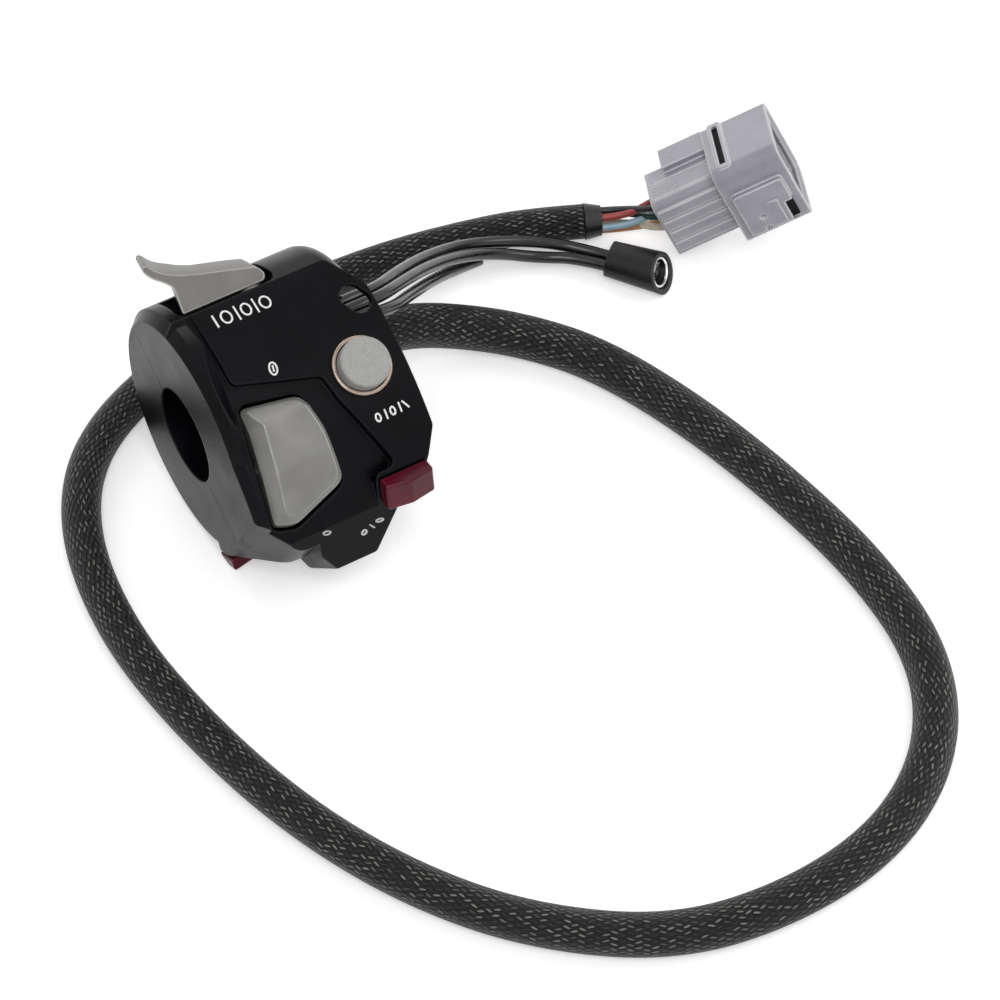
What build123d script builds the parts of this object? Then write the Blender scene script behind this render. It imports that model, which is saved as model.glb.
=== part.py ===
from build123d import *
import os
from math import cos, radians, sin, tan

# Handlebar switch cluster: a two-part housing clamped round a handlebar, with a thumb lever, a rocker,
# a round push button, a sliding switch and a finger trigger, its wiring harness and its plugs.
# Millimetres. The origin is the middle of the handlebar bore and +X runs along the bar, away from the
# grip. The housing is modelled in its own frame: X along the bar, Y up the front face, Z out of the
# front face. It is then leaned back about the bar by front_lean, as it lies on its round back.

# Housing
bar_diameter = 22.2
front_lean = 30.0
wall = 2.2
end_left = -24.0
drum_right = 19.0
drum_reach = 15.5
rim_chamfer = 2.2
drum_round = 5.0
sleeve_wall = 2.2
overrun = 10.0
fit_gap = 0.03
slip_gap = 0.3
bore_radius = bar_diameter / 2
sleeve_radius = bore_radius + sleeve_wall
drum_radius = sleeve_radius + drum_reach

# Front block of the housing, with its crowned face
block_right = 20.6
block_top = 20.3
block_bottom = 35.0
crown_radius = 60.0
crown_rise = 12.7
crown_offset = 3.0
block_edge_round = 2.0
block_tuck = 15.0
block_tuck_depth = 24.5
front_corner_cut = 5.5
front_corner_drop = 9.2
front_corner_round = 5.0
front_foot_cut = 4.6
front_foot_rise = 7.8
front_heel_cut = 8.4
front_heel_rise = 8.6

# Sunk field round the rocker, with the groove that runs up beside the plate
field_drop = 2.0
field_shift = 3.0
groove_left = 19.1
groove_width = 1.4
plate_foot_x = 17.0
plate_foot = 2.0
plate_step_x = 1.8
plate_step_drop = 3.8
plate_waist_x = 3.2
plate_waist_drop = 10.0
plate_slant_x = 10.1
plate_slant_drop = 27.2
slider_pad_left = 4.3
field_left = 21.4
field_corner_round = 1.6

# Chin under the front block, with its sloping facet
facet_slope = 53.13
facet_u = 33.0
facet_rise = 0.7
chin_left = 10.6
chin_right = 9.6
chin_depth = 41.0
chin_rear = 4.0
chin_tuck = 18.0
chin_corner = 3.6

# Notch for the thumb lever, recess under the eyelet and the eyelet itself
notch_left = 19.2
notch_right = 4.4
notch_back_drop = 4.7
notch_round = 2.0
recess_left = 13.2
recess_low = 4.6
recess_high = 13.6
recess_rise = 9.3
recess_back = 6.0
eyelet_x = 16.7
eyelet_u = 8.9
eyelet_length = 7.2
eyelet_width = 5.4
eyelet_round = 2.4
eyelet_turn = 28.0

# Clamp screws and their bosses
screw_x = 8.0
screw_offset = 5.5
screw_shank = 2.0
screw_head = 3.9
screw_head_height = 2.4
screw_tip_rise = 2.2
boss_radius = 4.0
head_seat_depth = 12.3
head_boss_wall = 1.2
drive_width = 0.9
drive_length = 4.4
drive_depth = 1.2

# Thumb lever
lever_left = 21.9
lever_length = 24.1
lever_base = 21.2
lever_height = 14.7
lever_front_rise = 6.7
lever_depth = 7.0
lever_rise = 3.4
lever_corner_round = 0.8
lever_bend_round = 6.0
lever_axis_x = -1.2
lever_axis_rise = 3.2
lever_shaft_radius = 2.2
lever_shaft_foot = 12.2
lever_outline_shares = (
    (0.154, 0.0), (0.17, 0.45), (0.0, 0.73), (0.0, 0.91), (0.127, 0.7),
    (0.3, 0.54), (0.68, 0.36), (1.0, 0.2), (1.0, 0.0),
)
lever_shoulder_share = 0.154
wiper_thickness = 0.8
wiper_hub = 3.8
wiper_reach = 9.5
wiper_width = 2.4
contact_thickness = 0.4
board_thickness = 1.4
lever_board_left = 13.0
lever_board_right = 4.0
lever_board_drop = 2.9
lever_board_rise = 8.1
shelf_width = 2.0
shelf_thickness = 1.5
leaf_thickness = 0.4
leaf_length = 9.0
leaf_height = 3.6
leaf_post = 1.5

# Rocker
rocker_left = 20.1
rocker_top = 2.9
rocker_width = 17.7
rocker_length = 26.9
rocker_outline_shares = (
    (0.153, 0.0), (0.876, 0.093), (1.0, 0.413), (1.0, 0.836), (0.277, 1.0), (0.0, 0.944),
)
rocker_corner_round = 1.5
rocker_bend_round = 8.0
rocker_gap = 0.7
rocker_wall = 1.6
rocker_head_rise = 10.4
rocker_ridge_u = 8.4
rocker_ridge_rise = 13.9
rocker_middle_u = 19.0
rocker_middle_rise = 11.3
rocker_tail_u = 32.0
rocker_tail_rise = 5.4
rocker_ridge_round = 1.5
rocker_edge_round = 0.7
rocker_axis_u = -15.6
rocker_axis_rise = 4.1
rocker_pin_radius = 1.25
rocker_pin_length = 5.4
rocker_pin_bite = 2.1
rocker_hub = 2.9
rocker_skirt_rise = 1.1
rocker_boss_half = 3.0
rocker_boss_right = 3.2
rocker_board_drop = 5.9
rocker_board_low = 23.6
rocker_board_tuck = 0.1
plunger_x = -10.8
plunger_radius = 1.3
plunger_foot_drop = 5.5
plunger_length = 7.0
plunger_tube = 2.3
plunger_tube_drop = 1.7
plunger_tube_rise = 7.7
plunger_turns = 5
spring_wire = 0.45
rocker_wiper_reach = 3.6
pad_length = 3.2
pad_width = 2.0

# Round push button
button_x = 10.9
button_u = -5.2
button_radius = 5.65
button_rise = 16.7
button_travel = 2.0
button_skirt_rise = 6.9
button_wall = 1.5
button_edge_round = 0.7
button_stem = 1.5
button_disc_radius = 2.8
button_disc_thickness = 0.5
button_disc_rise = 3.5
button_board_rise = 0.9
button_board_thickness = 0.8
button_board_half = 4.6
button_board_right = 18.2
button_post_width = 1.4
button_spring_radius = 3.6
button_spring_turns = 4
button_pad_offset = 1.8
bezel_wall = 0.75
bezel_top_rise = 13.3
bezel_foot_rise = 7.5
bezel_flange = 0.9
bezel_flange_height = 1.0

# Sliding switch on the lower right
slider_x = 10.8
slider_width = 11.6
slider_length = 7.0
slider_centre = 4.1
slider_height = 4.2
slider_roof = 1.0
slider_clear = 0.4
slider_travel = 2.4
slider_neck_shift = 1.6
slider_neck_width = 2.4
slider_neck_length = 3.0
slider_edge_round = 0.6
carriage_width = 4.4
carriage_length = 4.0
carriage_thickness = 1.6
slider_rail = 1.2

# Finger trigger on the lower back
trigger_angle = 212.0
trigger_right = 11.2
trigger_root = 4.4
trigger_tip = 23.2
trigger_clear = 1.2
trigger_thickness = 2.5
trigger_width = 6.4
trigger_curl = 0.9
trigger_bend = 18.4
trigger_arm_left = 19.4
trigger_arm_depth = 7.2
trigger_arm_thickness = 1.6
trigger_pin_rise = 3.0
trigger_pin_radius = 1.0
trigger_pin_length = 12.4
trigger_boss_half = 2.2
trigger_boss_depth = 1.8
trigger_swing_gap = 0.8
trigger_round = 0.6
trigger_spring_x = -17.6
trigger_spring_radius = 1.5
trigger_spring_room = 0.9
trigger_spring_turns = 5
trigger_contact_half = 2.4
trigger_contact_length = 3.4
trigger_contact_room = 1.0

# Harness, its exit and the loom inside
harness_radius = 4.8
harness_exit_rise = 6.3
harness_exit_angle = -71.0
grommet_neck = 5.4
grommet_flange = 6.3
grommet_flange_thickness = 1.6
grommet_tail = 5.9
grommet_tail_left = 13.8
grommet_tail_thickness = 1.2
loom_radius = 2.2
loom_left = 2.0
collar_radius = 4.4
collar_end_radius = 3.6
collar_length = 4.0
pigtail_radius = 0.85
pigtail_ring = 2.4
pigtail_lead_out = 6.0
floor_z = -drum_radius
harness_floor = floor_z + harness_radius

# Smooth leads and the boot that joins two of them
lead_radius = 1.4
lead_ring_rise = 2.3
lead_angles = (42.0, 54.0, 66.0)
lead_straight = 7.3
boot_width = 10.8
boot_height = 9.0
boot_length = 15.0
boot_wall = 1.2
boot_taper_share = 0.86
boot_depth = 9.0
boot_x = 95.2
boot_y = 16.6
boot_heading = -51.0
boot_slant = 25.0
boot_pitch = 3.1
boot_low = 1.0
boot_run = 7.6
terminal_radius = 2.3
terminal_wall = 0.6
terminal_length = 5.6

# Plug on the far end of the harness
plug_x = 110.7
plug_y = 18.7
plug_heading = -19.6
plug_pitch = 24.6
plug_roll = -9.8
plug_rear_length = 16.1
plug_rear_width = 15.0
plug_rear_height = 17.8
plug_rear_round = 1.6
plug_rear_wall = 1.7
plug_rib_count = 4
plug_rib_width = 2.7
plug_top_rib_count = 2
plug_top_rib_width = 4.8
plug_rib_depth = 0.6
plug_rail_start = 5.0
plug_rail_low = 2.6
plug_rail_high = 9.3
plug_rail_rise = 2.3
plug_wire_room = 7.0
plug_hood_length = 16.4
plug_hood_width = 20.2
plug_hood_height = 22.9
plug_hood_wall = 1.6
plug_hood_round = 3.4
plug_cavity = 13.5
plug_ring_count = 6
plug_ring_width = 0.6
plug_ring_depth = 0.5
plug_ring_pitch = 1.3
plug_slot_length = 14.6
plug_slot_width = 1.5
plug_slot_depth = 1.0
plug_slot_start = 3.6
plug_slot_rim = 0.9
plug_slot_rim_height = 0.5
plug_latch_start = 1.9
plug_latch_length = 12.4
plug_latch_width = 12.5
plug_latch_low = 1.9
plug_latch_height = 1.5
plug_latch_window = 1.9
plug_latch_window_width = 5.6
plug_latch_window_start = 10.5
plug_latch_window_low = 3.4
plug_latch_hole = 0.7
plug_latch_hole_start = 4.5
plug_latch_hole_pitch = 3.6
plug_latch_hole_low = 2.0
plug_latch_round = 0.8
plug_seal_thickness = 1.4
plug_seal_margin = 0.6
plug_pin_radius = 0.75
plug_pin_length = 8.0
plug_pin_pitch = 3.6

# Routes chosen by hand, in the frame of the whole part
harness_route = (
    (40, 16.6, -16.5), (52.5, 14.5, -21.5), (65.5, 6, harness_floor), (76.5, -9, harness_floor),
    (85.5, -33, harness_floor), (92, -61, harness_floor), (96, -91, harness_floor),
    (94, -118, harness_floor), (82, -139, harness_floor), (61, -153, harness_floor),
    (35, -157, harness_floor), (8, -152.5, harness_floor), (-16, -135, harness_floor),
    (-32.5, -113, harness_floor), (-44.5, -86, harness_floor), (-51.5, -56, harness_floor),
    (-54.5, -26, harness_floor), (-50, 4, harness_floor), (-37, 26, harness_floor),
    (-13, 38.5, harness_floor), (17, 44, harness_floor), (48, 43.5, harness_floor),
    (75, 38.0, harness_floor), (87.8, 33.4, harness_floor), (96, 29.6, harness_floor),
)
upper_route = (
    (28.8, 8.1, 10.6), (38.5, 16.2, 2.8), (50.2, 24.6, -6.4), (62.1, 30.4, -14.6),
    (73.1, 31.2, -19.8), (83.3, 28.4, -22.8),
)
lower_route = (
    (27.5, 3.2, 13.4), (36.1, 9.8, 6.8), (47.6, 18.6, -2.8), (59.9, 25.8, -12.8),
    (71.4, 28.5, -20.4), (81.1, 26.1, -25),
)
stub_route = (
    (28.6, 0.8, 11), (37.5, 9.1, 2.4), (48.9, 18.9, -8.3), (60, 27.2, -18.4), (69.1, 31.9, -25.5),
)
loom_route = ((-8, 11.5, -16), (-15, 18, -7.5), (-15, 19.4, 3))

os.makedirs("parts", exist_ok=True)

# Places that follow the bore's sleeve and the drum
crown_top = sleeve_radius + crown_rise
facet_n = sleeve_radius + facet_rise
screw_tip = sleeve_radius + screw_tip_rise
recess_front = sleeve_radius + recess_rise
lever_front = sleeve_radius + lever_front_rise
lever_axis_n = sleeve_radius + lever_axis_rise
lever_board_front = sleeve_radius + lever_board_rise
rocker_head_out = sleeve_radius + rocker_head_rise
rocker_ridge_out = sleeve_radius + rocker_ridge_rise
rocker_middle_out = sleeve_radius + rocker_middle_rise
rocker_tail_out = sleeve_radius + rocker_tail_rise
rocker_axis_n = sleeve_radius + rocker_axis_rise
rocker_skirt_foot = sleeve_radius + rocker_skirt_rise
plunger_tube_top = sleeve_radius + plunger_tube_rise
button_top = sleeve_radius + button_rise
button_skirt_foot = sleeve_radius + button_skirt_rise
button_disc_foot = sleeve_radius + button_disc_rise
button_board_top = sleeve_radius + button_board_rise
bezel_top = sleeve_radius + bezel_top_rise
bezel_foot = sleeve_radius + bezel_foot_rise
harness_exit_radius = sleeve_radius + harness_exit_rise
lead_ring = sleeve_radius + lead_ring_rise
screw_u = sleeve_radius + screw_offset
notch_back = sleeve_radius - notch_back_drop
lever_board_back = sleeve_radius - lever_board_drop
rocker_board_top = sleeve_radius - rocker_board_drop
rocker_board_high = sleeve_radius - rocker_board_tuck
plunger_foot = sleeve_radius - plunger_foot_drop
plunger_tube_foot = sleeve_radius - plunger_tube_drop
head_seat = drum_radius - head_seat_depth
trigger_arm_inner = drum_radius - trigger_arm_depth
trigger_inner = drum_radius + trigger_clear
trigger_axis_r = trigger_arm_inner + trigger_pin_rise
trigger_boss_foot = trigger_axis_r - trigger_boss_depth
trigger_contact_top = trigger_arm_inner - trigger_contact_room
trigger_spring_length = trigger_arm_inner - sleeve_radius - 2 * slip_gap - trigger_spring_room
far_away = 3 * drum_radius
bezel_radius = button_radius + slip_gap + bezel_wall


def outline_face(points, rounds):
    return make_face(FilletPolyline(*points, radius=list(rounds), close=True).edges())


def prism(points, rounds, low, high):
    """A plan outline in the front face's plane, with rounded corners, raised from low to high."""
    placed = [(along, up, low) for along, up in points]
    return extrude(outline_face(placed, rounds), high - low, dir=(0, 0, 1))


def side_prism(points, rounds, left, right):
    """An outline seen along the bar, drawn in (up, out), running from left to right along the bar."""
    placed = [(left, up, out) for up, out in points]
    return extrude(outline_face(placed, rounds), right - left, dir=(1, 0, 0))


def top_prism(points, rounds, low, high):
    """An outline seen from above the front face, drawn in (along, out), running from low to high."""
    placed = [(along, low, out) for along, out in points]
    return extrude(outline_face(placed, rounds), high - low, dir=(0, 1, 0))


def bar_cylinder(radius, left, right, up=0.0, out=0.0):
    return Pos((left + right) / 2, up, out) * Rot(0, 90, 0) * Cylinder(radius, right - left)


def out_cylinder(radius, low, high, x, up):
    return Pos(x, up, (low + high) / 2) * Cylinder(radius, high - low)


def up_cylinder(radius, low, high, x, out):
    return Pos(x, (low + high) / 2, out) * Rot(90, 0, 0) * Cylinder(radius, high - low)


def span_box(along, up, out):
    """A box from its spans along three axes."""
    size = [high - low for low, high in (along, up, out)]
    middle = [(high + low) / 2 for low, high in (along, up, out)]
    return Pos(*middle) * Box(*size)


def coil(radius, wire, length, turns):
    """A coil spring that stands on Z = 0."""
    rise = length - wire
    path = Helix(pitch=rise / turns, height=rise, radius=radius)
    section = Plane(origin=path @ 0, z_dir=path % 0) * Circle(wire / 2)
    return Pos(0, 0, wire / 2) * sweep(section, path=path)


def crown(drop=0.0, shift=0.0, inset=0.0, rim=0.0):
    """The solid under the crowned front face: a wide cylinder lying along the bar."""
    out = crown_top - drop - crown_radius
    body = bar_cylinder(crown_radius - inset, end_left, far_away, shift - crown_offset, out)
    return chamfer(body.faces().sort_by(Axis.X)[0].edges(), rim) if rim else body


def facet_frame():
    """The facet under the front: X across, Y up the slope, Z out of it."""
    return Pos(0, -facet_u, facet_n) * Rot(facet_slope, 0, 0)


def under_facet(inset=0.0, rim=0.0):
    """Everything behind the sloping facet."""
    body = span_box((end_left, far_away), (-far_away, far_away), (-far_away, -inset))
    if rim:
        edge = body.edges().filter_by(Axis.Y).group_by(Axis.X)[0].sort_by(Axis.Z)[-1]
        body = chamfer(edge, rim)
    return facet_frame() * body


def drum_solid(inset=0.0):
    """The round body about the bar's axis, with a chamfered left rim and a rounded right one."""
    rim = 0.0 if inset else rim_chamfer
    body = bar_cylinder(drum_radius - inset, end_left + inset, drum_right - inset)
    body = fillet(body.faces().sort_by(Axis.X)[-1].edges(), drum_round - inset)
    return chamfer(body.faces().sort_by(Axis.X)[0].edges(), rim) if rim else body


def front_plan(inset=0.0):
    """The front block's outline, seen from the front, as points and corner rounds."""
    left = end_left + inset
    right = block_right - inset
    top = block_top - inset
    foot = -block_bottom + inset
    points = (
        (left, top - rim_chamfer),
        (left + rim_chamfer, top),
        (right - front_corner_cut, top),
        (right, block_top - front_corner_drop),
        (right, foot + front_foot_rise + front_foot_cut),
        (right - front_foot_cut, foot + front_foot_cut),
        (right - front_foot_cut - front_foot_rise, foot),
        (left + front_heel_cut, foot),
        (left, foot + front_heel_rise),
    )
    small = block_edge_round
    wide = front_corner_round
    return points, (0, 0, small, wide, small, small, small, wide, small)


def block_solid(inset=0.0):
    """The block that carries the front face, under its crown and behind its lower facet."""
    points, rounds = front_plan(inset)
    plan = prism(points, rounds, -drum_radius, drum_radius + overrun)
    foot = -block_bottom + inset
    tuck = (-block_tuck_depth + inset, -block_tuck + inset)
    high = drum_radius + 2 * overrun
    side = side_prism(
        (
            (block_top + overrun, 0),
            (block_top + overrun, high),
            (2 * foot - tuck[0], high),
            (2 * foot - tuck[0], -tuck[1]),
            tuck,
            (0, 0),
        ),
        (0, 0, 0, 0, 0, 0),
        end_left - overrun,
        block_right + overrun,
    )
    rim = 0.0 if inset else rim_chamfer
    return plan & side & crown(0, 0, inset, rim) & under_facet(inset, rim)


def chin_solid(inset=0.0):
    """The chin that hangs under the block."""
    foot = -chin_depth + inset
    left = -chin_left + inset
    right = chin_right - inset
    points = (
        (left, 0),
        (left, foot + chin_corner),
        (left + chin_corner, foot),
        (right - 2 * chin_corner, foot),
        (right, foot + 2 * chin_corner),
        (right, 0),
    )
    small = block_edge_round
    plan = prism(points, (0, small, small, small, small, 0), -drum_radius, drum_radius + overrun)
    side = side_prism(
        (
            (-block_tuck, facet_n),
            (-facet_u, facet_n + overrun),
            (foot - chin_corner, facet_n + overrun),
            (foot - chin_corner, 3 * chin_rear),
            (foot + chin_corner, -chin_rear),
            (-block_tuck_depth + inset, -chin_tuck + inset),
            (-block_tuck, -block_tuck / 2),
        ),
        (0, 0, 0, 0, small, 0, 0),
        left - overrun,
        right + overrun,
    )
    return plan & side & crown(0, 0, inset) & under_facet(inset)


def field_cut(grow=0.0):
    """What is sunk below the plate: the field round the rocker and the groove beside the plate."""
    high = block_top + overrun
    low = -block_bottom - overrun
    points = (
        (-groove_left - grow, high),
        (-groove_left - grow, plate_foot),
        (-field_left - grow, -block_bottom + front_heel_rise),
        (-field_left - grow, low),
        (slider_pad_left + grow, low),
        (slider_pad_left + grow, -plate_slant_drop - grow),
        (plate_slant_x + grow, -plate_slant_drop - grow),
        (plate_waist_x + grow, -plate_waist_drop),
        (plate_step_x + grow, -plate_step_drop + grow),
        (-plate_foot_x + grow, plate_foot + grow),
        (-groove_left + groove_width + grow, high),
    )
    small = field_corner_round
    rounds = (0, small, small, 0, 0, small, small, small, small, small, 0)
    sunk = prism(points, rounds, 0, drum_radius + overrun)
    return sunk - crown(field_drop, field_shift, grow)


def rocker_plan(grow=0.0):
    """The rocker's outline seen from the front, grown or shrunk by a gap."""
    points = [
        (-rocker_left + across * rocker_width, -rocker_top - down * rocker_length)
        for across, down in rocker_outline_shares
    ]
    small = rocker_corner_round
    face = outline_face(points, (small, small, rocker_bend_round, small, small, small))
    return offset(face, amount=grow).faces()[0] if grow else face


def rocker_prism(grow, low, high):
    return Pos(0, 0, low) * extrude(rocker_plan(grow), high - low, dir=(0, 0, 1))


def lever_notch(grow=0.0):
    """The notch that the thumb lever lies in, cut into the drum above the plate."""
    floor = block_top + slip_gap - grow
    points = (
        (-notch_left - grow, floor),
        (notch_right + grow, floor),
        (notch_right + grow, drum_radius + overrun),
        (-notch_left - grow, drum_radius + overrun),
    )
    return prism(points, (notch_round, notch_round, 0, 0), notch_back - grow, drum_radius + overrun)


def cable_recess(grow=0.0):
    """The recess in the right end, where the smooth leads come out behind the eyelet."""
    return span_box(
        (recess_left - grow, block_right + overrun),
        (recess_low - grow, recess_high + grow),
        (-recess_back - grow, recess_front + grow),
    )


def eyelet_cut():
    hole = RectangleRounded(eyelet_width, eyelet_length, eyelet_round)
    placed = Pos(eyelet_x, eyelet_u, recess_front - overrun) * Rot(0, 0, eyelet_turn) * hole
    return extrude(placed, 2 * overrun, dir=(0, 0, 1))


def housing_outer():
    slope = (
        (end_left + rim_chamfer, drum_radius),
        (-groove_left, crown_top),
        (-groove_left, drum_radius / 2),
        (drum_right + overrun, drum_radius / 2),
        (drum_right + overrun, drum_radius + overrun),
        (end_left + rim_chamfer, drum_radius + overrun),
    )
    above = top_prism(slope, (0, 0, 0, 0, 0, 0), -drum_radius, drum_radius) - crown()
    return drum_solid() - above + block_solid() + chin_solid() - field_cut()


def screw_bosses(front):
    bosses = []
    for side in (-1, 1):
        if front:
            bosses.append(out_cylinder(boss_radius, -head_seat, crown_top, screw_x, side * screw_u))
        else:
            radius = screw_head + slip_gap + head_boss_wall
            top = -head_seat + wall
            bosses.append(out_cylinder(radius, -drum_radius, top, screw_x, side * screw_u))
    return bosses


def housing_cavity():
    inner = drum_solid(wall) & crown(0, 0, wall)
    inner += block_solid(wall)
    inner += chin_solid(wall)
    inner -= field_cut(wall)
    inner -= bar_cylinder(sleeve_radius, end_left, block_right)
    inner -= lever_notch(wall)
    inner -= cable_recess(wall)
    for boss in screw_bosses(True) + screw_bosses(False):
        inner -= boss
    return inner


def trigger_frame():
    """Z points outwards from the bar at the trigger, X along the bar, Y sideways."""
    return Rot(trigger_angle - 90, 0, 0)


def trigger_slot():
    half = trigger_width / 2 + slip_gap
    return trigger_frame() * span_box(
        (-trigger_right - trigger_root - trigger_swing_gap, -trigger_right + slip_gap),
        (-half, half),
        (trigger_arm_inner, drum_radius + overrun),
    )


def trigger_pin(gap=0.0):
    middle = -trigger_right - trigger_root / 2
    pin = Cylinder(trigger_pin_radius + gap, trigger_pin_length + 2 * gap)
    return trigger_frame() * Pos(middle, 0, trigger_axis_r) * Rot(90, 0, 0) * pin


def trigger_bosses():
    """Two lugs inside the back wall that hold the trigger's pin."""
    middle = -trigger_right - trigger_root / 2
    lugs = []
    for side in (-1, 1):
        near = side * (trigger_width / 2 + slip_gap)
        far = side * (trigger_pin_length / 2 + trigger_pin_radius)
        lugs.append(trigger_frame() * span_box(
            (middle - trigger_boss_half, middle + trigger_boss_half),
            (min(near, far), max(near, far)),
            (trigger_boss_foot, drum_radius + overrun),
        ))
    return lugs


def slider_frame(shift=0.0):
    """The middle of the knob on the facet, or the middle of its neck."""
    return facet_frame() * Pos(slider_x - shift, slider_centre, 0)


def slider_slot():
    half = slider_neck_width / 2 + slip_gap
    length = slider_neck_length / 2 + slip_gap
    slot = span_box((-half - slider_travel, half), (-length, length), (-2 * wall, overrun))
    return slider_frame(slider_neck_shift) * slot


def slider_board_depth():
    """How far behind the facet the sliding switch's board begins."""
    return wall + 2 * slip_gap + carriage_thickness + 3 * contact_thickness


def slider_rails():
    """Two rails behind the facet that hold the sliding switch's board."""
    half = carriage_width / 2 + slip_gap
    deep = (-slider_board_depth(), -wall / 2)
    length = (-carriage_length / 2, carriage_length / 2)
    left = span_box((-half - slider_travel - slider_rail, -half - slider_travel), length, deep)
    right = span_box((half, half + slider_rail), length, deep)
    return [slider_frame(slider_neck_shift) * left, slider_frame(slider_neck_shift) * right]


def slider_pockets():
    """Room behind the facet for the carriage's travel, between the rails, and for the board."""
    half = carriage_width / 2 + slip_gap
    length = carriage_length / 2 + slip_gap
    depth = slider_board_depth()
    path = span_box((-half - slider_travel, half), (-length, length), (-depth, -wall))
    board = span_box(
        (-half - slider_travel - slider_rail - fit_gap, half + slider_rail + fit_gap),
        (-length, length),
        (-depth - board_thickness - slip_gap, -depth),
    )
    return [slider_frame(slider_neck_shift) * path, slider_frame(slider_neck_shift) * board]


def harness_exit():
    angle = radians(harness_exit_angle)
    return harness_exit_radius * cos(angle), harness_exit_radius * sin(angle)


def lead_places():
    """Where the smooth leads leave the recess wall, as (up, out)."""
    return [(lead_ring * cos(radians(turn)), lead_ring * sin(radians(turn))) for turn in lead_angles]


def openings():
    """Every hole that goes through the housing's walls."""
    cuts = [bar_cylinder(bore_radius, end_left - overrun, block_right + overrun)]
    hole = rocker_prism(rocker_gap, rocker_board_top, drum_radius + overrun)
    cuts.append(hole - bar_cylinder(sleeve_radius + slip_gap, end_left, block_right))
    start = bezel_foot - slip_gap
    cuts.append(out_cylinder(bezel_radius + fit_gap, start, drum_radius, button_x, button_u))
    flange = bezel_radius + bezel_flange + fit_gap
    top = bezel_foot + bezel_flange_height + fit_gap
    cuts.append(out_cylinder(flange, start, top, button_x, button_u))
    cuts.append(lever_notch())
    cuts.append(cable_recess())
    cuts.append(eyelet_cut())
    shaft = lever_shaft_radius + 2 * fit_gap
    cuts.append(up_cylinder(shaft, lever_shaft_foot, block_top + overrun, lever_axis_x, lever_axis_n))
    cuts.append(slider_slot())
    cuts += slider_pockets()
    cuts.append(trigger_slot())
    up, out = harness_exit()
    cuts.append(bar_cylinder(grommet_neck + fit_gap, drum_right - 2 * wall, block_right + overrun, up, out))
    for up, out in lead_places():
        reach = (recess_left - 2 * wall, recess_left + wall)
        cuts.append(bar_cylinder(lead_radius + fit_gap, *reach, up, out))
    back = -drum_radius - overrun
    for side in (-1, 1):
        u = side * screw_u
        cuts.append(out_cylinder(screw_shank + fit_gap, back, screw_tip + fit_gap, screw_x, u))
        cuts.append(out_cylinder(screw_head + slip_gap, back, -head_seat, screw_x, u))
    return cuts


def rocker_bosses():
    """Two bosses inside the front wall that hold the rocker's pins and its board."""
    span = (rocker_axis_u - rocker_boss_half, rocker_axis_u + rocker_boss_half)
    out = (rocker_board_top, crown_top)
    left_edge = -rocker_left + rocker_gap
    right_edge = -rocker_left + rocker_width + rocker_gap
    left = span_box((end_left + wall / 2, left_edge), span, out)
    right = span_box((right_edge, rocker_boss_right), span, out)
    under = crown(field_drop, field_shift, wall / 2)
    return [left & under, right & under]


def lever_board_face():
    """Height of the lever board's upper face, a slip gap and the pads under the wiper."""
    return lever_shaft_foot - slip_gap - contact_thickness


def inner_posts():
    """Shelves and posts inside the front wall that hold the boards and the lever's leaf."""
    posts = []
    shelf_top = lever_board_face() - board_thickness
    for left in (-lever_board_left, lever_board_right - shelf_width):
        posts.append(span_box(
            (left, left + shelf_width),
            (shelf_top - shelf_thickness, shelf_top),
            (lever_board_back + board_thickness, crown_top - wall / 2),
        ))
    leaf_front = lever_axis_n + lever_shaft_radius + slip_gap + leaf_thickness
    leaf_low = lever_shaft_foot + wiper_thickness + slip_gap
    for left in (lever_axis_x - leaf_length / 2, lever_axis_x + leaf_length / 2 - leaf_post):
        posts.append(span_box(
            (left, left + leaf_post),
            (leaf_low, leaf_low + leaf_height),
            (leaf_front, crown_top - wall / 2),
        ))
    posts.append(span_box(
        (button_board_right - button_post_width, block_right - wall / 2),
        (button_u - button_board_half, button_u + button_board_half),
        (button_board_top, bezel_foot - slip_gap),
    ))
    return [post & crown(0, 0, wall / 2) for post in posts]


def rocker_pins(gap=0.0):
    """The two short hinge pins, each half in the rocker and half in a boss of the housing."""
    left = -rocker_left + rocker_wall / 2
    right = -rocker_left + rocker_width
    inward = rocker_pin_length - rocker_pin_bite
    spans = (
        (left - rocker_pin_bite, left + inward),
        (right - inward, right + rocker_pin_bite),
    )
    radius = rocker_pin_radius + gap
    return [
        bar_cylinder(radius, low - gap, high + gap, rocker_axis_u, rocker_axis_n) for low, high in spans
    ]


def housing():
    outer = housing_outer()
    body = outer - housing_cavity()
    for piece in rocker_bosses() + inner_posts() + trigger_bosses() + slider_rails():
        body += piece & outer
    for cut in openings() + rocker_pins(fit_gap) + [trigger_pin(fit_gap)]:
        body -= cut
    return body


def half_space(front):
    low, high = (0, far_away) if front else (-far_away, 0)
    return span_box((-far_away, far_away), (-far_away, far_away), (low, high))


def clamp_screw(side):
    """A pan-head screw with a cross drive, seen from the back of the housing."""
    shank = out_cylinder(screw_shank, -head_seat, screw_tip, screw_x, side * screw_u)
    top = -head_seat - screw_head_height
    head = out_cylinder(screw_head, top, -head_seat, screw_x, side * screw_u)
    head = fillet(head.edges().group_by(Axis.Z)[0], screw_head_height / 3)
    cross = Box(drive_length, drive_width, drive_depth) + Box(drive_width, drive_length, drive_depth)
    return shank + head - Pos(screw_x, side * screw_u, top + drive_depth / 2) * cross


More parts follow.
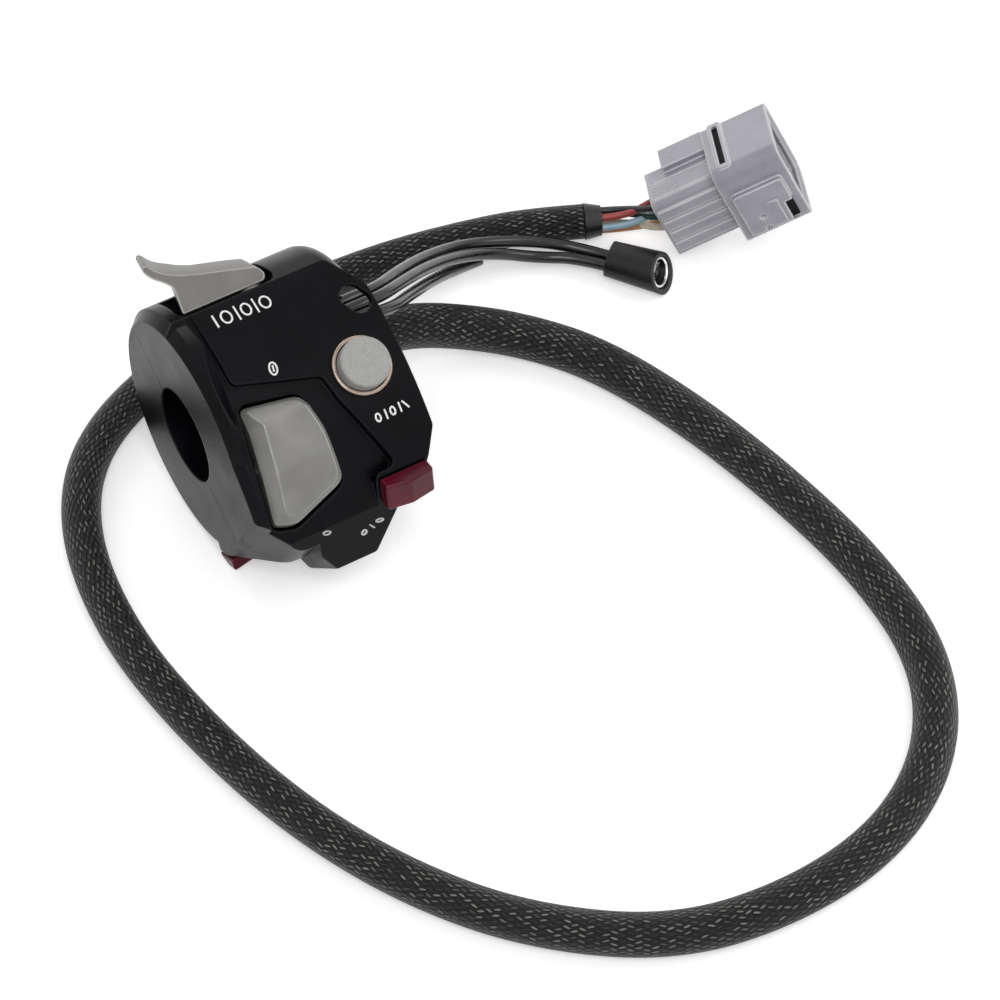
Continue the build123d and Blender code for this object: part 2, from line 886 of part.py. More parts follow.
def harness_grommet():
    up, out = harness_exit()
    body = bar_cylinder(grommet_neck, grommet_tail_left, drum_right, up, out)
    flange = bar_cylinder(grommet_flange, drum_right, drum_right + grommet_flange_thickness, up, out)
    flange = fillet(flange.edges().group_by(Axis.X)[-1], grommet_flange_thickness / 2)
    tail = bar_cylinder(
        grommet_tail, grommet_tail_left, grommet_tail_left + grommet_tail_thickness, up, out
    )
    return body + flange + tail


def thumb_lever():
    """A finger tab that leans up and back, on a shaft that turns in the notch's floor."""
    points = [
        (-lever_left + across * lever_length, lever_base + rise * lever_height, lever_front)
        for across, rise in lever_outline_shares
    ]
    small = lever_corner_round
    bend = lever_bend_round
    face = outline_face(points, (small, small, small, small, bend, bend, bend, small, small))
    slant = Vector(0, lever_rise, -lever_depth)
    tab = Solid.extrude(face.face(), slant)
    left = -lever_left + lever_shoulder_share * lever_length
    foot = span_box(
        (left, -lever_left + lever_length),
        (lever_base, lever_base + lever_rise),
        (lever_front - lever_depth, lever_front),
    )
    foot = fillet(foot.edges().filter_by(Axis.Z).group_by(Axis.Y)[0], small)
    shaft = up_cylinder(
        lever_shaft_radius, lever_shaft_foot, lever_base + lever_rise, lever_axis_x, lever_axis_n
    )
    return foot + tab + shaft


def lever_wiper():
    """Brass arm pressed on the lever's shaft, under the notch's floor."""
    high = lever_shaft_foot + wiper_thickness
    hub = up_cylinder(wiper_hub, lever_shaft_foot, high, lever_axis_x, lever_axis_n)
    arm = span_box(
        (lever_axis_x - wiper_reach, lever_axis_x),
        (lever_shaft_foot, high),
        (lever_axis_n - wiper_width / 2, lever_axis_n + wiper_width / 2),
    )
    bore = lever_shaft_radius + fit_gap
    return hub + arm - up_cylinder(bore, 0, high + overrun, lever_axis_x, lever_axis_n)


def lever_board():
    high = lever_board_face()
    return span_box(
        (-lever_board_left, lever_board_right),
        (high - board_thickness, high),
        (lever_board_back, lever_board_front),
    )


def lever_contacts():
    """Three pads on the board, one for each place of the lever."""
    low = lever_board_face()
    left = lever_axis_x - wiper_reach
    pads = []
    for step in (-1, 0, 1):
        middle = lever_axis_n + step * (pad_width + slip_gap)
        pads.append(span_box(
            (left, left + pad_length),
            (low, low + contact_thickness),
            (middle - pad_width / 2, middle + pad_width / 2),
        ))
    return pads


def lever_detent_leaf():
    back = lever_axis_n + lever_shaft_radius + slip_gap
    low = lever_shaft_foot + wiper_thickness + slip_gap
    return span_box(
        (lever_axis_x - leaf_length / 2, lever_axis_x + leaf_length / 2),
        (low, low + leaf_height),
        (back, back + leaf_thickness),
    )


def rocker_under(drop):
    """Everything under the rocker's ridged top, lowered by drop."""
    points = (
        (0, rocker_head_out - drop),
        (-rocker_ridge_u, rocker_ridge_out - drop),
        (-rocker_middle_u, rocker_middle_out - drop),
        (-rocker_tail_u, rocker_tail_out - drop),
        (-rocker_tail_u, 0),
        (0, 0),
    )
    rounds = (0, rocker_ridge_round, 2 * rocker_bend_round, 0, 0, 0)
    return side_prism(points, rounds, end_left, overrun)


def is_rim(edge):
    """True for an edge round the rocker's top, not for one that runs across it."""
    across = abs((edge % 0.5).X) > cos(radians(5)) and edge.length > rocker_width / 2
    inside = -rocker_tail_u < edge.center().Y < -rocker_top - rocker_corner_round
    ends = edge.center().Y < -rocker_top - rocker_length + rocker_corner_round
    return edge.center().Z > rocker_axis_n and not (across and inside and not ends)


def rocker_cap():
    """The hollow rocker with a hub at each side and a tube for its plunger."""
    high = rocker_ridge_out + overrun
    body = rocker_prism(0, rocker_skirt_foot, high) & rocker_under(0)
    body = fillet(body.edges().filter_by(is_rim), rocker_edge_round)
    body -= rocker_prism(-rocker_wall, 0, high) & rocker_under(rocker_wall)
    shell = rocker_prism(-rocker_wall / 2, 0, high) & rocker_under(rocker_wall / 2)
    left = -rocker_left
    right = -rocker_left + rocker_width
    reach = rocker_pin_length - rocker_pin_bite + rocker_wall
    hubs = bar_cylinder(rocker_hub, left, left + reach, rocker_axis_u, rocker_axis_n)
    hubs += bar_cylinder(rocker_hub, right - reach, right, rocker_axis_u, rocker_axis_n)
    hubs += out_cylinder(plunger_tube, plunger_tube_foot, high, plunger_x, rocker_axis_u)
    body += hubs & shell
    body -= out_cylinder(
        plunger_radius + fit_gap, plunger_tube_foot, plunger_tube_top, plunger_x, rocker_axis_u
    )
    for pin in rocker_pins(fit_gap):
        body -= pin
    return body


def rocker_plunger():
    """A ball-ended plunger that bears on the board."""
    high = plunger_foot + plunger_length
    low = plunger_foot + plunger_radius
    body = out_cylinder(plunger_radius, low, high, plunger_x, rocker_axis_u)
    return body + Pos(plunger_x, rocker_axis_u, low) * Sphere(plunger_radius)


def rocker_spring():
    low = plunger_foot + plunger_length
    body = coil(plunger_radius - spring_wire / 2, spring_wire, plunger_tube_top - low, plunger_turns)
    return Pos(plunger_x, rocker_axis_u, low) * body


def rocker_wiper():
    """A brass ring on the plunger's tube, with a leg down to each pad."""
    low = plunger_tube_foot
    high = low + 2 * contact_thickness
    ring = out_cylinder(plunger_tube + 2 * contact_thickness, low, high, plunger_x, rocker_axis_u)
    foot = rocker_board_top + contact_thickness + slip_gap
    across = (rocker_axis_u - pad_width / 2, rocker_axis_u + pad_width / 2)
    for side in (-1, 1):
        leg = plunger_x + side * rocker_wiper_reach
        ring += span_box((min(plunger_x, leg), max(plunger_x, leg)), across, (low, high))
        ring += span_box((leg - contact_thickness, leg + contact_thickness), across, (foot, high))
    return ring - out_cylinder(plunger_tube + fit_gap, 0, drum_radius, plunger_x, rocker_axis_u)


def rocker_contacts():
    """Four pads on the board, two under each leg of the wiper."""
    pads = []
    for side in (-1, 1):
        middle = plunger_x + side * rocker_wiper_reach
        for end in (-1, 1):
            centre = rocker_axis_u + end * (pad_width + slip_gap) / 2
            pads.append(span_box(
                (middle - pad_width / 2, middle + pad_width / 2),
                (centre - pad_width / 2, centre + pad_width / 2),
                (rocker_board_top, rocker_board_top + contact_thickness),
            ))
    return pads


def rocker_board():
    return span_box(
        (end_left + wall + slip_gap, rocker_boss_right),
        (-rocker_board_low, -rocker_board_high),
        (rocker_board_top - board_thickness, rocker_board_top),
    )


def button_cap():
    """A hollow round cap with a stem in the middle."""
    cap = out_cylinder(button_radius, button_skirt_foot, button_top, button_x, button_u)
    cap = fillet(cap.edges().group_by(Axis.Z)[-1], button_edge_round)
    inner = button_radius - button_wall
    under = button_top - button_wall
    cap -= out_cylinder(inner, 0, under, button_x, button_u)
    return cap + out_cylinder(button_stem, button_disc_foot, under, button_x, button_u)


def button_bezel():
    body = out_cylinder(bezel_radius, bezel_foot, bezel_top, button_x, button_u)
    body = fillet(body.edges().group_by(Axis.Z)[-1], bezel_wall / 2)
    high = bezel_foot + bezel_flange_height
    body += out_cylinder(bezel_radius + bezel_flange, bezel_foot, high, button_x, button_u)
    return body - out_cylinder(button_radius + slip_gap, 0, drum_radius + overrun, button_x, button_u)


def button_spring():
    """The return spring, at the length that it has when the button is down."""
    length = button_top - button_wall - button_travel - slip_gap - button_board_top
    body = coil(button_spring_radius, spring_wire, length, button_spring_turns)
    return Pos(button_x, button_u, button_board_top) * body


def button_disc():
    high = button_disc_foot + button_disc_thickness
    disc = out_cylinder(button_disc_radius, button_disc_foot, high, button_x, button_u)
    return disc - out_cylinder(button_stem + fit_gap, 0, drum_radius, button_x, button_u)


def button_contacts():
    """Two pads that the disc bridges."""
    pads = []
    for side in (-1, 1):
        middle = button_x + side * button_pad_offset
        pads.append(span_box(
            (middle - pad_width / 2, middle + pad_width / 2),
            (button_u - pad_width / 2, button_u + pad_width / 2),
            (button_board_top, button_board_top + button_board_thickness / 3),
        ))
    return pads


def button_board():
    return span_box(
        (button_x - button_board_half, button_board_right),
        (button_u - button_board_half, button_u + button_board_half),
        (button_board_top - button_board_thickness, button_board_top),
    )


def slider_knob():
    """A roof-shaped knob that runs on the facet, with a neck through its slot."""
    half = slider_width / 2
    eave = slider_height - slider_roof
    points = ((-half, slider_clear), (half, slider_clear), (half, eave), (0, slider_height), (-half, eave))
    small = slider_edge_round
    knob = top_prism(points, (0, 0, small, 2 * small, small), -slider_length / 2, slider_length / 2)
    ends = knob.faces().filter_by(Axis.Y).edges()
    knob = fillet(ends.filter_by(lambda edge: edge.center().Z > slider_height / 2), small)
    neck = span_box(
        (-slider_neck_width / 2, slider_neck_width / 2),
        (-slider_neck_length / 2, slider_neck_length / 2),
        (-wall - slip_gap, slider_clear),
    )
    return slider_frame() * knob + slider_frame(slider_neck_shift) * neck


def slider_carriage():
    top = -wall - slip_gap
    body = span_box(
        (-carriage_width / 2, carriage_width / 2),
        (-carriage_length / 2, carriage_length / 2),
        (top - carriage_thickness, top),
    )
    return slider_frame(slider_neck_shift) * body


def slider_wiper():
    """A brass spring strip under the carriage."""
    top = -wall - slip_gap - carriage_thickness
    low = -slider_board_depth() + contact_thickness + slip_gap
    strip = span_box(
        (-carriage_width / 3, carriage_width / 3),
        (-pad_width / 2, pad_width / 2),
        (low, top),
    )
    return slider_frame(slider_neck_shift) * strip


def slider_contacts():
    """Two pads along the slide."""
    low = -slider_board_depth()
    pads = []
    for left in (-carriage_width / 2 - slider_travel, carriage_width / 2 - pad_length):
        pads.append(slider_frame(slider_neck_shift) * span_box(
            (left, left + pad_length),
            (-pad_width / 2, pad_width / 2),
            (low, low + contact_thickness),
        ))
    return pads


def slider_board():
    half = carriage_width / 2 + slip_gap + slider_rail
    top = -slider_board_depth()
    body = span_box(
        (-half - slider_travel, half),
        (-carriage_length / 2, carriage_length / 2),
        (top - board_thickness, top),
    )
    return slider_frame(slider_neck_shift) * body


def trigger():
    """A curled finger blade on a root that goes through the back wall to its pin."""
    root_left = -trigger_right - trigger_root
    outer = trigger_inner + trigger_thickness
    points = (
        (-trigger_right, trigger_arm_inner),
        (-trigger_right, outer),
        (-trigger_bend, outer),
        (-trigger_tip, outer + trigger_curl),
        (-trigger_tip, trigger_inner + trigger_curl),
        (-trigger_bend, trigger_inner),
        (root_left, trigger_inner),
        (root_left, trigger_arm_inner + trigger_arm_thickness),
        (-trigger_arm_left, trigger_arm_inner + trigger_arm_thickness),
        (-trigger_arm_left, trigger_arm_inner),
    )
    small = trigger_round
    rounds = (small, small, 0, small, small, 0, 0, 0, small, small)
    blade = top_prism(points, rounds, -trigger_width / 2, trigger_width / 2)
    return trigger_frame() * blade - trigger_pin(fit_gap)


def trigger_spring():
    """The return spring between the trigger's inner arm and the bore sleeve."""
    body = coil(trigger_spring_radius, spring_wire, trigger_spring_length, trigger_spring_turns)
    return trigger_frame() * Pos(trigger_spring_x, 0, sleeve_radius + slip_gap) * body


def trigger_contact():
    right = -trigger_right - slip_gap
    body = span_box(
        (right - trigger_contact_length, right),
        (-trigger_contact_half, trigger_contact_half),
        (sleeve_radius + slip_gap, trigger_contact_top),
    )
    return trigger_frame() * body


def lean(point):
    """A place in the housing's frame, moved to the frame of the whole part."""
    along, up, out = point
    turn = radians(front_lean)
    return along, up * cos(turn) - out * sin(turn), up * sin(turn) + out * cos(turn)


def corner_radii(points):
    """For each inner point, the largest arc that its two runs leave room for."""
    spots = [Vector(*point) for point in points]
    radii = []
    for before, here, after in zip(spots, spots[1:], spots[2:]):
        turn = radians((here - before).get_angle(after - here))
        shorter = min((here - before).length, (after - here).length)
        radii.append(0.45 * shorter / tan(turn / 2))
    return radii


def tube(name, points, radius):
    """A round tube along straight runs joined by tangent arcs."""
    radii = corner_radii(points)
    path = FilletPolyline(*points, radius=radii)
    section = Plane(origin=path @ 0, z_dir=path % 0) * Circle(radius)
    body = sweep(section, path=path)
    ratio = body.volume / (section.area * path.length)
    bends = " ".join(f"{bend:.0f}" for bend in radii)
    print(f"{name}: {path.length:.1f} mm, volume {ratio:.4f} of section by length, radii {bends}")
    return body


def loom():
    up, out = harness_exit()
    start = ((grommet_tail_left, up, out), (loom_left, up, out))
    return tube("inner loom", start + loom_route, loom_radius)


def harness():
    up, out = harness_exit()
    start = Vector(*lean((drum_right + grommet_flange_thickness, up, out)))
    points = (tuple(start), tuple(start + Vector(harness_radius * 5 / 3, 0, 0))) + harness_route
    return tube("harness", points, harness_radius)


def collar_frame():
    """The end of the braid: Z points out of its end."""
    before, end = [Vector(*point) for point in harness_route[-2:]]
    return Location(Plane(origin=end, z_dir=end - before, x_dir=Vector(0, 0, 1)))


def harness_collar():
    """Smooth tape wound round the end of the braid, tapering to the wires."""
    cone = Cone(collar_radius, collar_end_radius, collar_length)
    return collar_frame() * Pos(0, 0, collar_length / 2) * cone


def plug_frame():
    """The plug: X points out of its mouth and Z up. Its rear lower edge rests on the floor."""
    roll = radians(plug_roll)
    pitch = radians(plug_pitch)
    lift = (plug_rear_width / 2 * abs(sin(roll)) + plug_rear_height / 2 * cos(roll)) * cos(pitch)
    place = Pos(plug_x, plug_y, floor_z + lift)
    return place * Rot(0, 0, plug_heading) * Rot(0, -plug_pitch, 0) * Rot(plug_roll, 0, 0)


def plug_places():
    """The six ways of the plug, as (sideways, up)."""
    return [(side * plug_pin_pitch / 2, row * plug_pin_pitch) for row in (1, 0, -1) for side in (-1, 1)]


def plug_rear():
    """The ribbed rear of the plug, with a guide rail on its top and room for the wires inside."""
    width = plug_rear_width / 2 - plug_rib_depth
    height = plug_rear_height / 2 - plug_rib_depth
    rear = span_box((0, plug_rear_length), (-width, width), (-height, height))
    rear = fillet(rear.edges().filter_by(Axis.X), plug_rear_round)
    reach = (plug_rib_depth, plug_rear_length)
    pitch = 2 * (height - plug_rear_round) / plug_rib_count
    for rib in range(plug_rib_count):
        middle = (rib - (plug_rib_count - 1) / 2) * pitch
        across = (-plug_rear_width / 2, plug_rear_width / 2)
        rear += span_box(reach, across, (middle - plug_rib_width / 2, middle + plug_rib_width / 2))
    pitch = 2 * (width - plug_rear_round) / plug_top_rib_count
    for rib in range(plug_top_rib_count):
        middle = (rib - (plug_top_rib_count - 1) / 2) * pitch
        across = (middle - plug_top_rib_width / 2, middle + plug_top_rib_width / 2)
        rear += span_box(reach, across, (-plug_rear_height / 2, plug_rear_height / 2))
    rear += span_box(
        (plug_rail_start, plug_rear_length),
        (plug_rail_low, plug_rail_high),
        (height - plug_rail_rise, height + plug_rail_rise),
    )
    inner = plug_rear_width / 2 - plug_rear_wall
    tall = plug_rear_height / 2 - plug_rear_wall
    return rear - span_box((-overrun, plug_wire_room), (-inner, inner), (-tall, tall))


def mouth_prism(left, right, inset):
    """A block with the shape of the hood's inside, shrunk by inset."""
    across = plug_hood_width / 2 - plug_hood_wall - inset
    tall = plug_hood_height / 2 - plug_hood_wall - inset
    body = span_box((left, right), (-across, across), (-tall, tall))
    return fillet(body.edges().filter_by(Axis.X), plug_hood_round - plug_hood_wall - inset)


def plug_hood():
    """The hood, with ribs that run round the inside of its mouth."""
    left = plug_rear_length
    right = left + plug_hood_length
    width = plug_hood_width / 2
    height = plug_hood_height / 2
    hood = span_box((left, right), (-width, width), (-height, height))
    hood = fillet(hood.edges().filter_by(Axis.X), plug_hood_round)
    mouth = mouth_prism(right - plug_cavity, right + overrun, 0)
    for ring in range(plug_ring_count):
        start = right - (ring + 1) * plug_ring_pitch
        end = start + plug_ring_width
        mouth -= mouth_prism(start, end, 0) - mouth_prism(start, end, plug_ring_depth)
    return hood - mouth


def plug_slot():
    """The raised border on top of the hood, and the slot across the hood inside it."""
    middle = plug_rear_length + plug_slot_start
    wide = plug_slot_width / 2
    half = plug_slot_length / 2
    top = plug_hood_height / 2
    rim = plug_slot_rim
    border = span_box(
        (middle - wide - rim, middle + wide + rim),
        (-half - rim, half + rim),
        (top - plug_hood_wall / 2, top + plug_slot_rim_height),
    )
    border = fillet(border.edges().filter_by(Axis.Z), rim)
    slot = span_box((middle - wide, middle + wide), (-half, half), (top - plug_slot_depth, top + overrun))
    return border, slot


def plug_latch():
    """The latch block on the near side, with its window and two small holes."""
    left = plug_rear_length + plug_latch_start
    side = -plug_hood_width / 2
    low = -plug_latch_low - plug_latch_width / 2
    body = span_box(
        (left, left + plug_latch_length),
        (side - plug_latch_height, side + plug_hood_wall),
        (low, low + plug_latch_width),
    )
    body = fillet(body.edges().filter_by(Axis.Y), plug_latch_round)
    middle = -plug_latch_low - plug_latch_window_low
    holes = span_box(
        (left + plug_latch_window_start, left + plug_latch_window_start + plug_latch_window),
        (side - overrun, side),
        (middle - plug_latch_window_width / 2, middle + plug_latch_window_width / 2),
    )
    for row in range(2):
        high = -plug_latch_low - plug_latch_hole_low - row * plug_latch_hole_pitch
        place = Pos(left + plug_latch_hole_start, side - plug_latch_height, high)
        holes += place * Rot(90, 0, 0) * Cylinder(plug_latch_hole, plug_latch_height)
    return body, holes


def plug_housing():
    border, slot = plug_slot()
    latch, holes = plug_latch()
    return plug_frame() * (plug_rear() + plug_hood() + latch - holes + border - slot)


def plug_seal():
    """The rubber seal that the wires go into, flat on the floor of the plug's wire room."""
    margin = plug_rear_wall + plug_seal_margin
    across = plug_rear_width / 2 - margin
    tall = plug_rear_height / 2 - margin
    reach = (plug_wire_room - plug_seal_thickness, plug_wire_room)
    body = span_box(reach, (-across, across), (-tall, tall))
    return plug_frame() * fillet(body.edges().filter_by(Axis.X), plug_rear_round)


def plug_terminals():
    """Six round terminals that stand on the floor of the hood."""
    left = plug_rear_length + plug_hood_length - plug_cavity
    return [
        plug_frame() * bar_cylinder(plug_pin_radius, left, left + plug_pin_length, side, up)
        for side, up in plug_places()
    ]


def pigtail(number, name):
    """One wire from the end of the collar into the plug's seal."""
    collar = collar_frame()
    plug = plug_frame()
    side, up = plug_places()[number]
    turn = radians(60 * (number // 2) + 30)
    across = pigtail_ring * sin(turn) * (1 if side < 0 else -1)
    high = pigtail_ring * cos(turn)
    start = collar * Pos(high, across, collar_length)
    leave = collar * Pos(high, across, collar_length + pigtail_lead_out)
    seal = plug_wire_room - plug_seal_thickness
    arrive = plug * Pos(seal - pigtail_lead_out, side, up)
    end = plug * Pos(seal, side, up)
    points = [tuple(place.position) for place in (start, leave, arrive, end)]
    return tube(name, points, pigtail_radius)


def lead_start(number):
    up, out = lead_places()[number]
    return (
        lean((recess_left - wall, up, out)),
        lean((recess_left + lead_straight, up, out)),
    )


def boot_frame():
    """The boot on the floor: X points out of its mouth."""
    return Pos(boot_x, boot_y, floor_z + boot_height / 2) * Rot(0, 0, boot_heading)


def boot_entry(side):
    """The last run of a lead, square into the back of the boot."""
    places = [boot_frame() * Pos(back, side * boot_pitch / 2, -boot_low) for back in (-boot_run, 0)]
    return [tuple(place.position) for place in places]


def lead_upper():
    return tube("upper lead", (*lead_start(0), *upper_route, *boot_entry(1)), lead_radius)


def lead_lower():
    return tube("lower lead", (*lead_start(1), *lower_route, *boot_entry(-1)), lead_radius)


def lead_stub():
    return tube("stub lead", (*lead_start(2), *stub_route), lead_radius)


def lead_boot():
    """A soft rubber boot, a little narrower at the back, cut off at a slant at its open mouth."""
    share = boot_taper_share
    back = Plane.YZ * Ellipse(boot_width / 2 * share, boot_height / 2 * share)
    front = Pos(boot_length, 0, 0) * (Plane.YZ * Ellipse(boot_width / 2, boot_height / 2))
    body = loft([back.faces()[0], front.faces()[0]])
    inner = Plane.YZ * Ellipse(boot_width / 2 - boot_wall, boot_height / 2 - boot_wall)
    mouth = extrude(Pos(boot_length - boot_depth, 0, 0) * inner, boot_depth + overrun, dir=(1, 0, 0))
    slant = Pos(boot_length, 0, -boot_height / 2) * Rot(0, -boot_slant, 0)
    beyond = span_box((0, boot_length), (-boot_width, boot_width), (-boot_height, 2 * boot_height))
    return boot_frame() * (body - mouth - slant * beyond)


def boot_terminal():
    """A bright tube terminal that stands on the floor of the boot's mouth."""
    left = boot_length - boot_depth
    body = bar_cylinder(terminal_radius, left, left + terminal_length)
    return boot_frame() * (body - bar_cylinder(terminal_radius - terminal_wall, left + terminal_wall, boot_length))


def write(name, shape, leaned=True):
    solids = shape if isinstance(shape, list) else [shape]
    turn = Rot(front_lean, 0, 0) if leaned else Rot(0, 0, 0)
    placed = [turn * solid for solid in solids]
    result = placed[0] if len(placed) == 1 else Compound(children=placed)
    export_step(result, f"parts/{name}.step")


whole = housing()
write("front_shell", whole & half_space(True))
write("rear_shell", whole & half_space(False))
write("clamp_screws", [clamp_screw(-1), clamp_screw(1)])
write("harness_grommet", harness_grommet())
write("thumb_lever", thumb_lever())
write("lever_wiper", lever_wiper())
write("lever_board", lever_board())
write("lever_contacts", lever_contacts())
write("lever_detent_leaf", lever_detent_leaf())
write("rocker_cap", rocker_cap())
write("rocker_pins", rocker_pins())
write("rocker_plunger", rocker_plunger())
write("rocker_spring", rocker_spring())
write("rocker_wiper", rocker_wiper())
write("rocker_contacts", rocker_contacts())
write("rocker_board", rocker_board())
write("button_cap", button_cap())
write("button_bezel", button_bezel())
write("button_spring", button_spring())
write("button_disc", button_disc())
write("button_contacts", button_contacts())
write("button_board", button_board())
write("slider_knob", slider_knob())
write("slider_carriage", slider_carriage())
write("slider_wiper", slider_wiper())
write("slider_contacts", slider_contacts())
write("slider_board", slider_board())
write("trigger", trigger())
write("trigger_pin", trigger_pin())
write("trigger_spring", trigger_spring())
write("trigger_contact", trigger_contact())
write("inner_loom", loom())
write("harness", harness(), False)
write("harness_collar", harness_collar(), False)
write("plug_housing", plug_housing(), False)
write("plug_seal", plug_seal(), False)
write("plug_terminals", plug_terminals(), False)
for number, colour in enumerate(("black", "red", "green", "blue", "cream", "tan")):
    write(f"pigtail_{colour}", pigtail(number, f"pigtail {colour}"), False)
write("lead_upper", lead_upper(), False)
write("lead_lower", lead_lower(), False)
write("lead_stub", lead_stub(), False)
write("lead_boot", lead_boot(), False)
write("boot_terminal", boot_terminal(), False)
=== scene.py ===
import bpy
import bmesh
import math
from mathutils import Matrix, Vector


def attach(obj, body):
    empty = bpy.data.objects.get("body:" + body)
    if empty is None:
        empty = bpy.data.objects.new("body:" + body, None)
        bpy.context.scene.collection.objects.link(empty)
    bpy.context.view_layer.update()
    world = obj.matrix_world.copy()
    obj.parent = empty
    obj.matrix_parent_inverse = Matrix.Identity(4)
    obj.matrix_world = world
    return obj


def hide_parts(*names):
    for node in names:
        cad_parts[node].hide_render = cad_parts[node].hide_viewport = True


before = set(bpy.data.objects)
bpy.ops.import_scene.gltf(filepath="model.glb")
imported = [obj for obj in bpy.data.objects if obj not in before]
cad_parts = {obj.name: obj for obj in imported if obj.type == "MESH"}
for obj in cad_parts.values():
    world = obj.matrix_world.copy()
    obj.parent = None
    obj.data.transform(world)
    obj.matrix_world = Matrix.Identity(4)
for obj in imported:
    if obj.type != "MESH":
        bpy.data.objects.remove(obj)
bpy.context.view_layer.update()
millimetre = 0.001
lean = Matrix.Rotation(math.radians(30), 4, "X")  # the housing lies back by 30 degrees
print("frame loaded,", len(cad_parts), "nodes")

# Camera
shot = {"target": (25.8, -50.6, 0.0), "distance": 900, "azimuth": -30.5, "elevation": 50.5, "lens": 150.66}


def placeCamera():
    turn, rise = math.radians(shot["azimuth"]), math.radians(shot["elevation"])
    back = Vector((math.sin(turn) * math.cos(rise), -math.cos(turn) * math.cos(rise), math.sin(rise)))
    lensData = bpy.data.cameras.new("shotCamera")
    lensData.sensor_width = 36
    lensData.lens = shot["lens"]
    lensData.clip_start = 0.05
    lensData.clip_end = 20
    camera = bpy.data.objects.new("shotCamera", lensData)
    bpy.context.scene.collection.objects.link(camera)
    camera.location = (Vector(shot["target"]) + back * shot["distance"]) * millimetre
    camera.rotation_euler = (-back).to_track_quat("-Z", "Y").to_euler()
    bpy.context.scene.camera = camera


placeCamera()
print("camera placed")


# Helpers
def hexColour(text, alpha=1.0):
    # sRGB hex to the linear values that shaders take
    parts = [int(text[i:i + 2], 16) / 255 for i in (1, 3, 5)]
    return (*[c / 12.92 if c <= 0.04045 else ((c + 0.055) / 1.055) ** 2.4 for c in parts], alpha)


def addNode(tree, kind, inputs=None, **settings):
    node = tree.nodes.new("ShaderNode" + kind)
    for name, value in settings.items():
        setattr(node, name, value)
    for key, value in (inputs or {}).items():
        if isinstance(value, bpy.types.NodeSocket):
            tree.links.new(value, node.inputs[key])
        else:
            node.inputs[key].default_value = value
    return node


def newMaterial(name):
    material = bpy.data.materials.new(name)
    material.use_nodes = True
    tree = material.node_tree
    tree.nodes.clear()
    shader = addNode(tree, "BsdfPrincipled")
    addNode(tree, "OutputMaterial", {"Surface": shader.outputs[0]})
    return material, tree, shader


def sums(tree, operation, first, second=0.0, third=0.0):
    return addNode(tree, "Math", {0: first, 1: second, 2: third}, operation=operation).outputs[0]


def colourRamp(tree, factor, stops):
    ramp = addNode(tree, "ValToRGB", {0: factor})
    while len(ramp.color_ramp.elements) < len(stops):
        ramp.color_ramp.elements.new(0.5)
    for element, (place, colour) in zip(ramp.color_ramp.elements, stops):
        element.position = place
        element.color = hexColour(colour) if isinstance(colour, str) else (colour, colour, colour, 1)
    return ramp.outputs[0]


def feed(tree, shader, colour, roughness, normal):
    # Links the three sockets that each patterned material drives
    for name, socket in (("Base Color", colour), ("Roughness", roughness), ("Normal", normal)):
        tree.links.new(socket, shader.inputs[name])


def moulded(
    name, dark, light, roughness, grain, depth, edge=0.25, edgeWearAndHighlight=None, specular=0.5, metallic=0.0, blotch=9.0,
):
    # Injection-moulded plastic: a fine eroded texture, soft broken edges, slow changes of colour and gloss.
    # grain is the texture's spacing and depth its height, both in mm, drawn a little coarse so that it shows.
    # edge is the rounding of the edges in mm; the paler edge colour is partly rubbed wear and partly a painted
    # highlight.
    material, tree, shader = newMaterial(name)
    place = addNode(tree, "TexCoord").outputs["Object"]
    slow = addNode(tree, "TexNoise", {"Vector": place, "Scale": 1000 / blotch, "Detail": 3.0}).outputs[0]
    fine = addNode(tree, "TexNoise", {"Vector": place, "Scale": 1000 / grain, "Detail": 2.0}).outputs[0]
    rounded = addNode(tree, "Bevel", {"Radius": edge * millimetre}, samples=6).outputs[0]
    bump = addNode(tree, "Bump", {"Strength": 1.0, "Distance": depth * millimetre, "Height": fine, "Normal": rounded})
    colour = colourRamp(tree, slow, [(0.35, dark), (0.7, light)])
    # Pale edges: partly rubbed wear, partly a painted highlight along every rounded edge
    if edgeWearAndHighlight:
        flat = addNode(tree, "NewGeometry").outputs["True Normal"]
        match = addNode(tree, "VectorMath", {0: rounded, 1: flat}, operation="DOT_PRODUCT").outputs["Value"]
        often = sums(tree, "MULTIPLY_ADD", slow, 0.6, 0.5)
        rubbedAndLitEdges = sums(tree, "MULTIPLY", colourRamp(tree, match, [(0.92, 1.0), (0.992, 0.0)]), often)
        mixed = addNode(tree, "Mix", {0: rubbedAndLitEdges, 6: colour, 7: hexColour(edgeWearAndHighlight)}, data_type="RGBA")
        colour = mixed.outputs[2]
    gloss = colourRamp(tree, slow, [(0.3, roughness - 0.05), (0.75, roughness + 0.06)])
    feed(tree, shader, colour, gloss, bump.outputs[0])
    shader.inputs["Specular IOR Level"].default_value = specular
    shader.inputs["Metallic"].default_value = metallic
    return material


def metal(name, colour, tarnish, roughness, scratch=0.6, stretch=(1, 1, 8)):
    # Bare metal: fine drawing marks along one way and slightly dull patches
    material, tree, shader = newMaterial(name)
    place = addNode(tree, "TexCoord").outputs["Object"]
    drawn = addNode(tree, "Mapping", {"Vector": place, "Scale": stretch}).outputs[0]
    marks = addNode(tree, "TexNoise", {"Vector": drawn, "Scale": 1000 / scratch, "Detail": 4.0}).outputs[0]
    patches = 420.0  # a metre: dull patches about 2.4 mm across
    dull = addNode(tree, "TexNoise", {"Vector": place, "Scale": patches, "Detail": 3.0}).outputs[0]
    bump = addNode(tree, "Bump", {"Strength": 0.5, "Distance": 0.02 * millimetre, "Height": marks})
    paint = colourRamp(tree, dull, [(0.35, colour), (0.75, tarnish)])
    gloss = colourRamp(tree, marks, [(0.3, roughness - 0.06), (0.7, roughness + 0.08)])
    feed(tree, shader, paint, gloss, bump.outputs[0])
    shader.inputs["Metallic"].default_value = 1.0
    return material


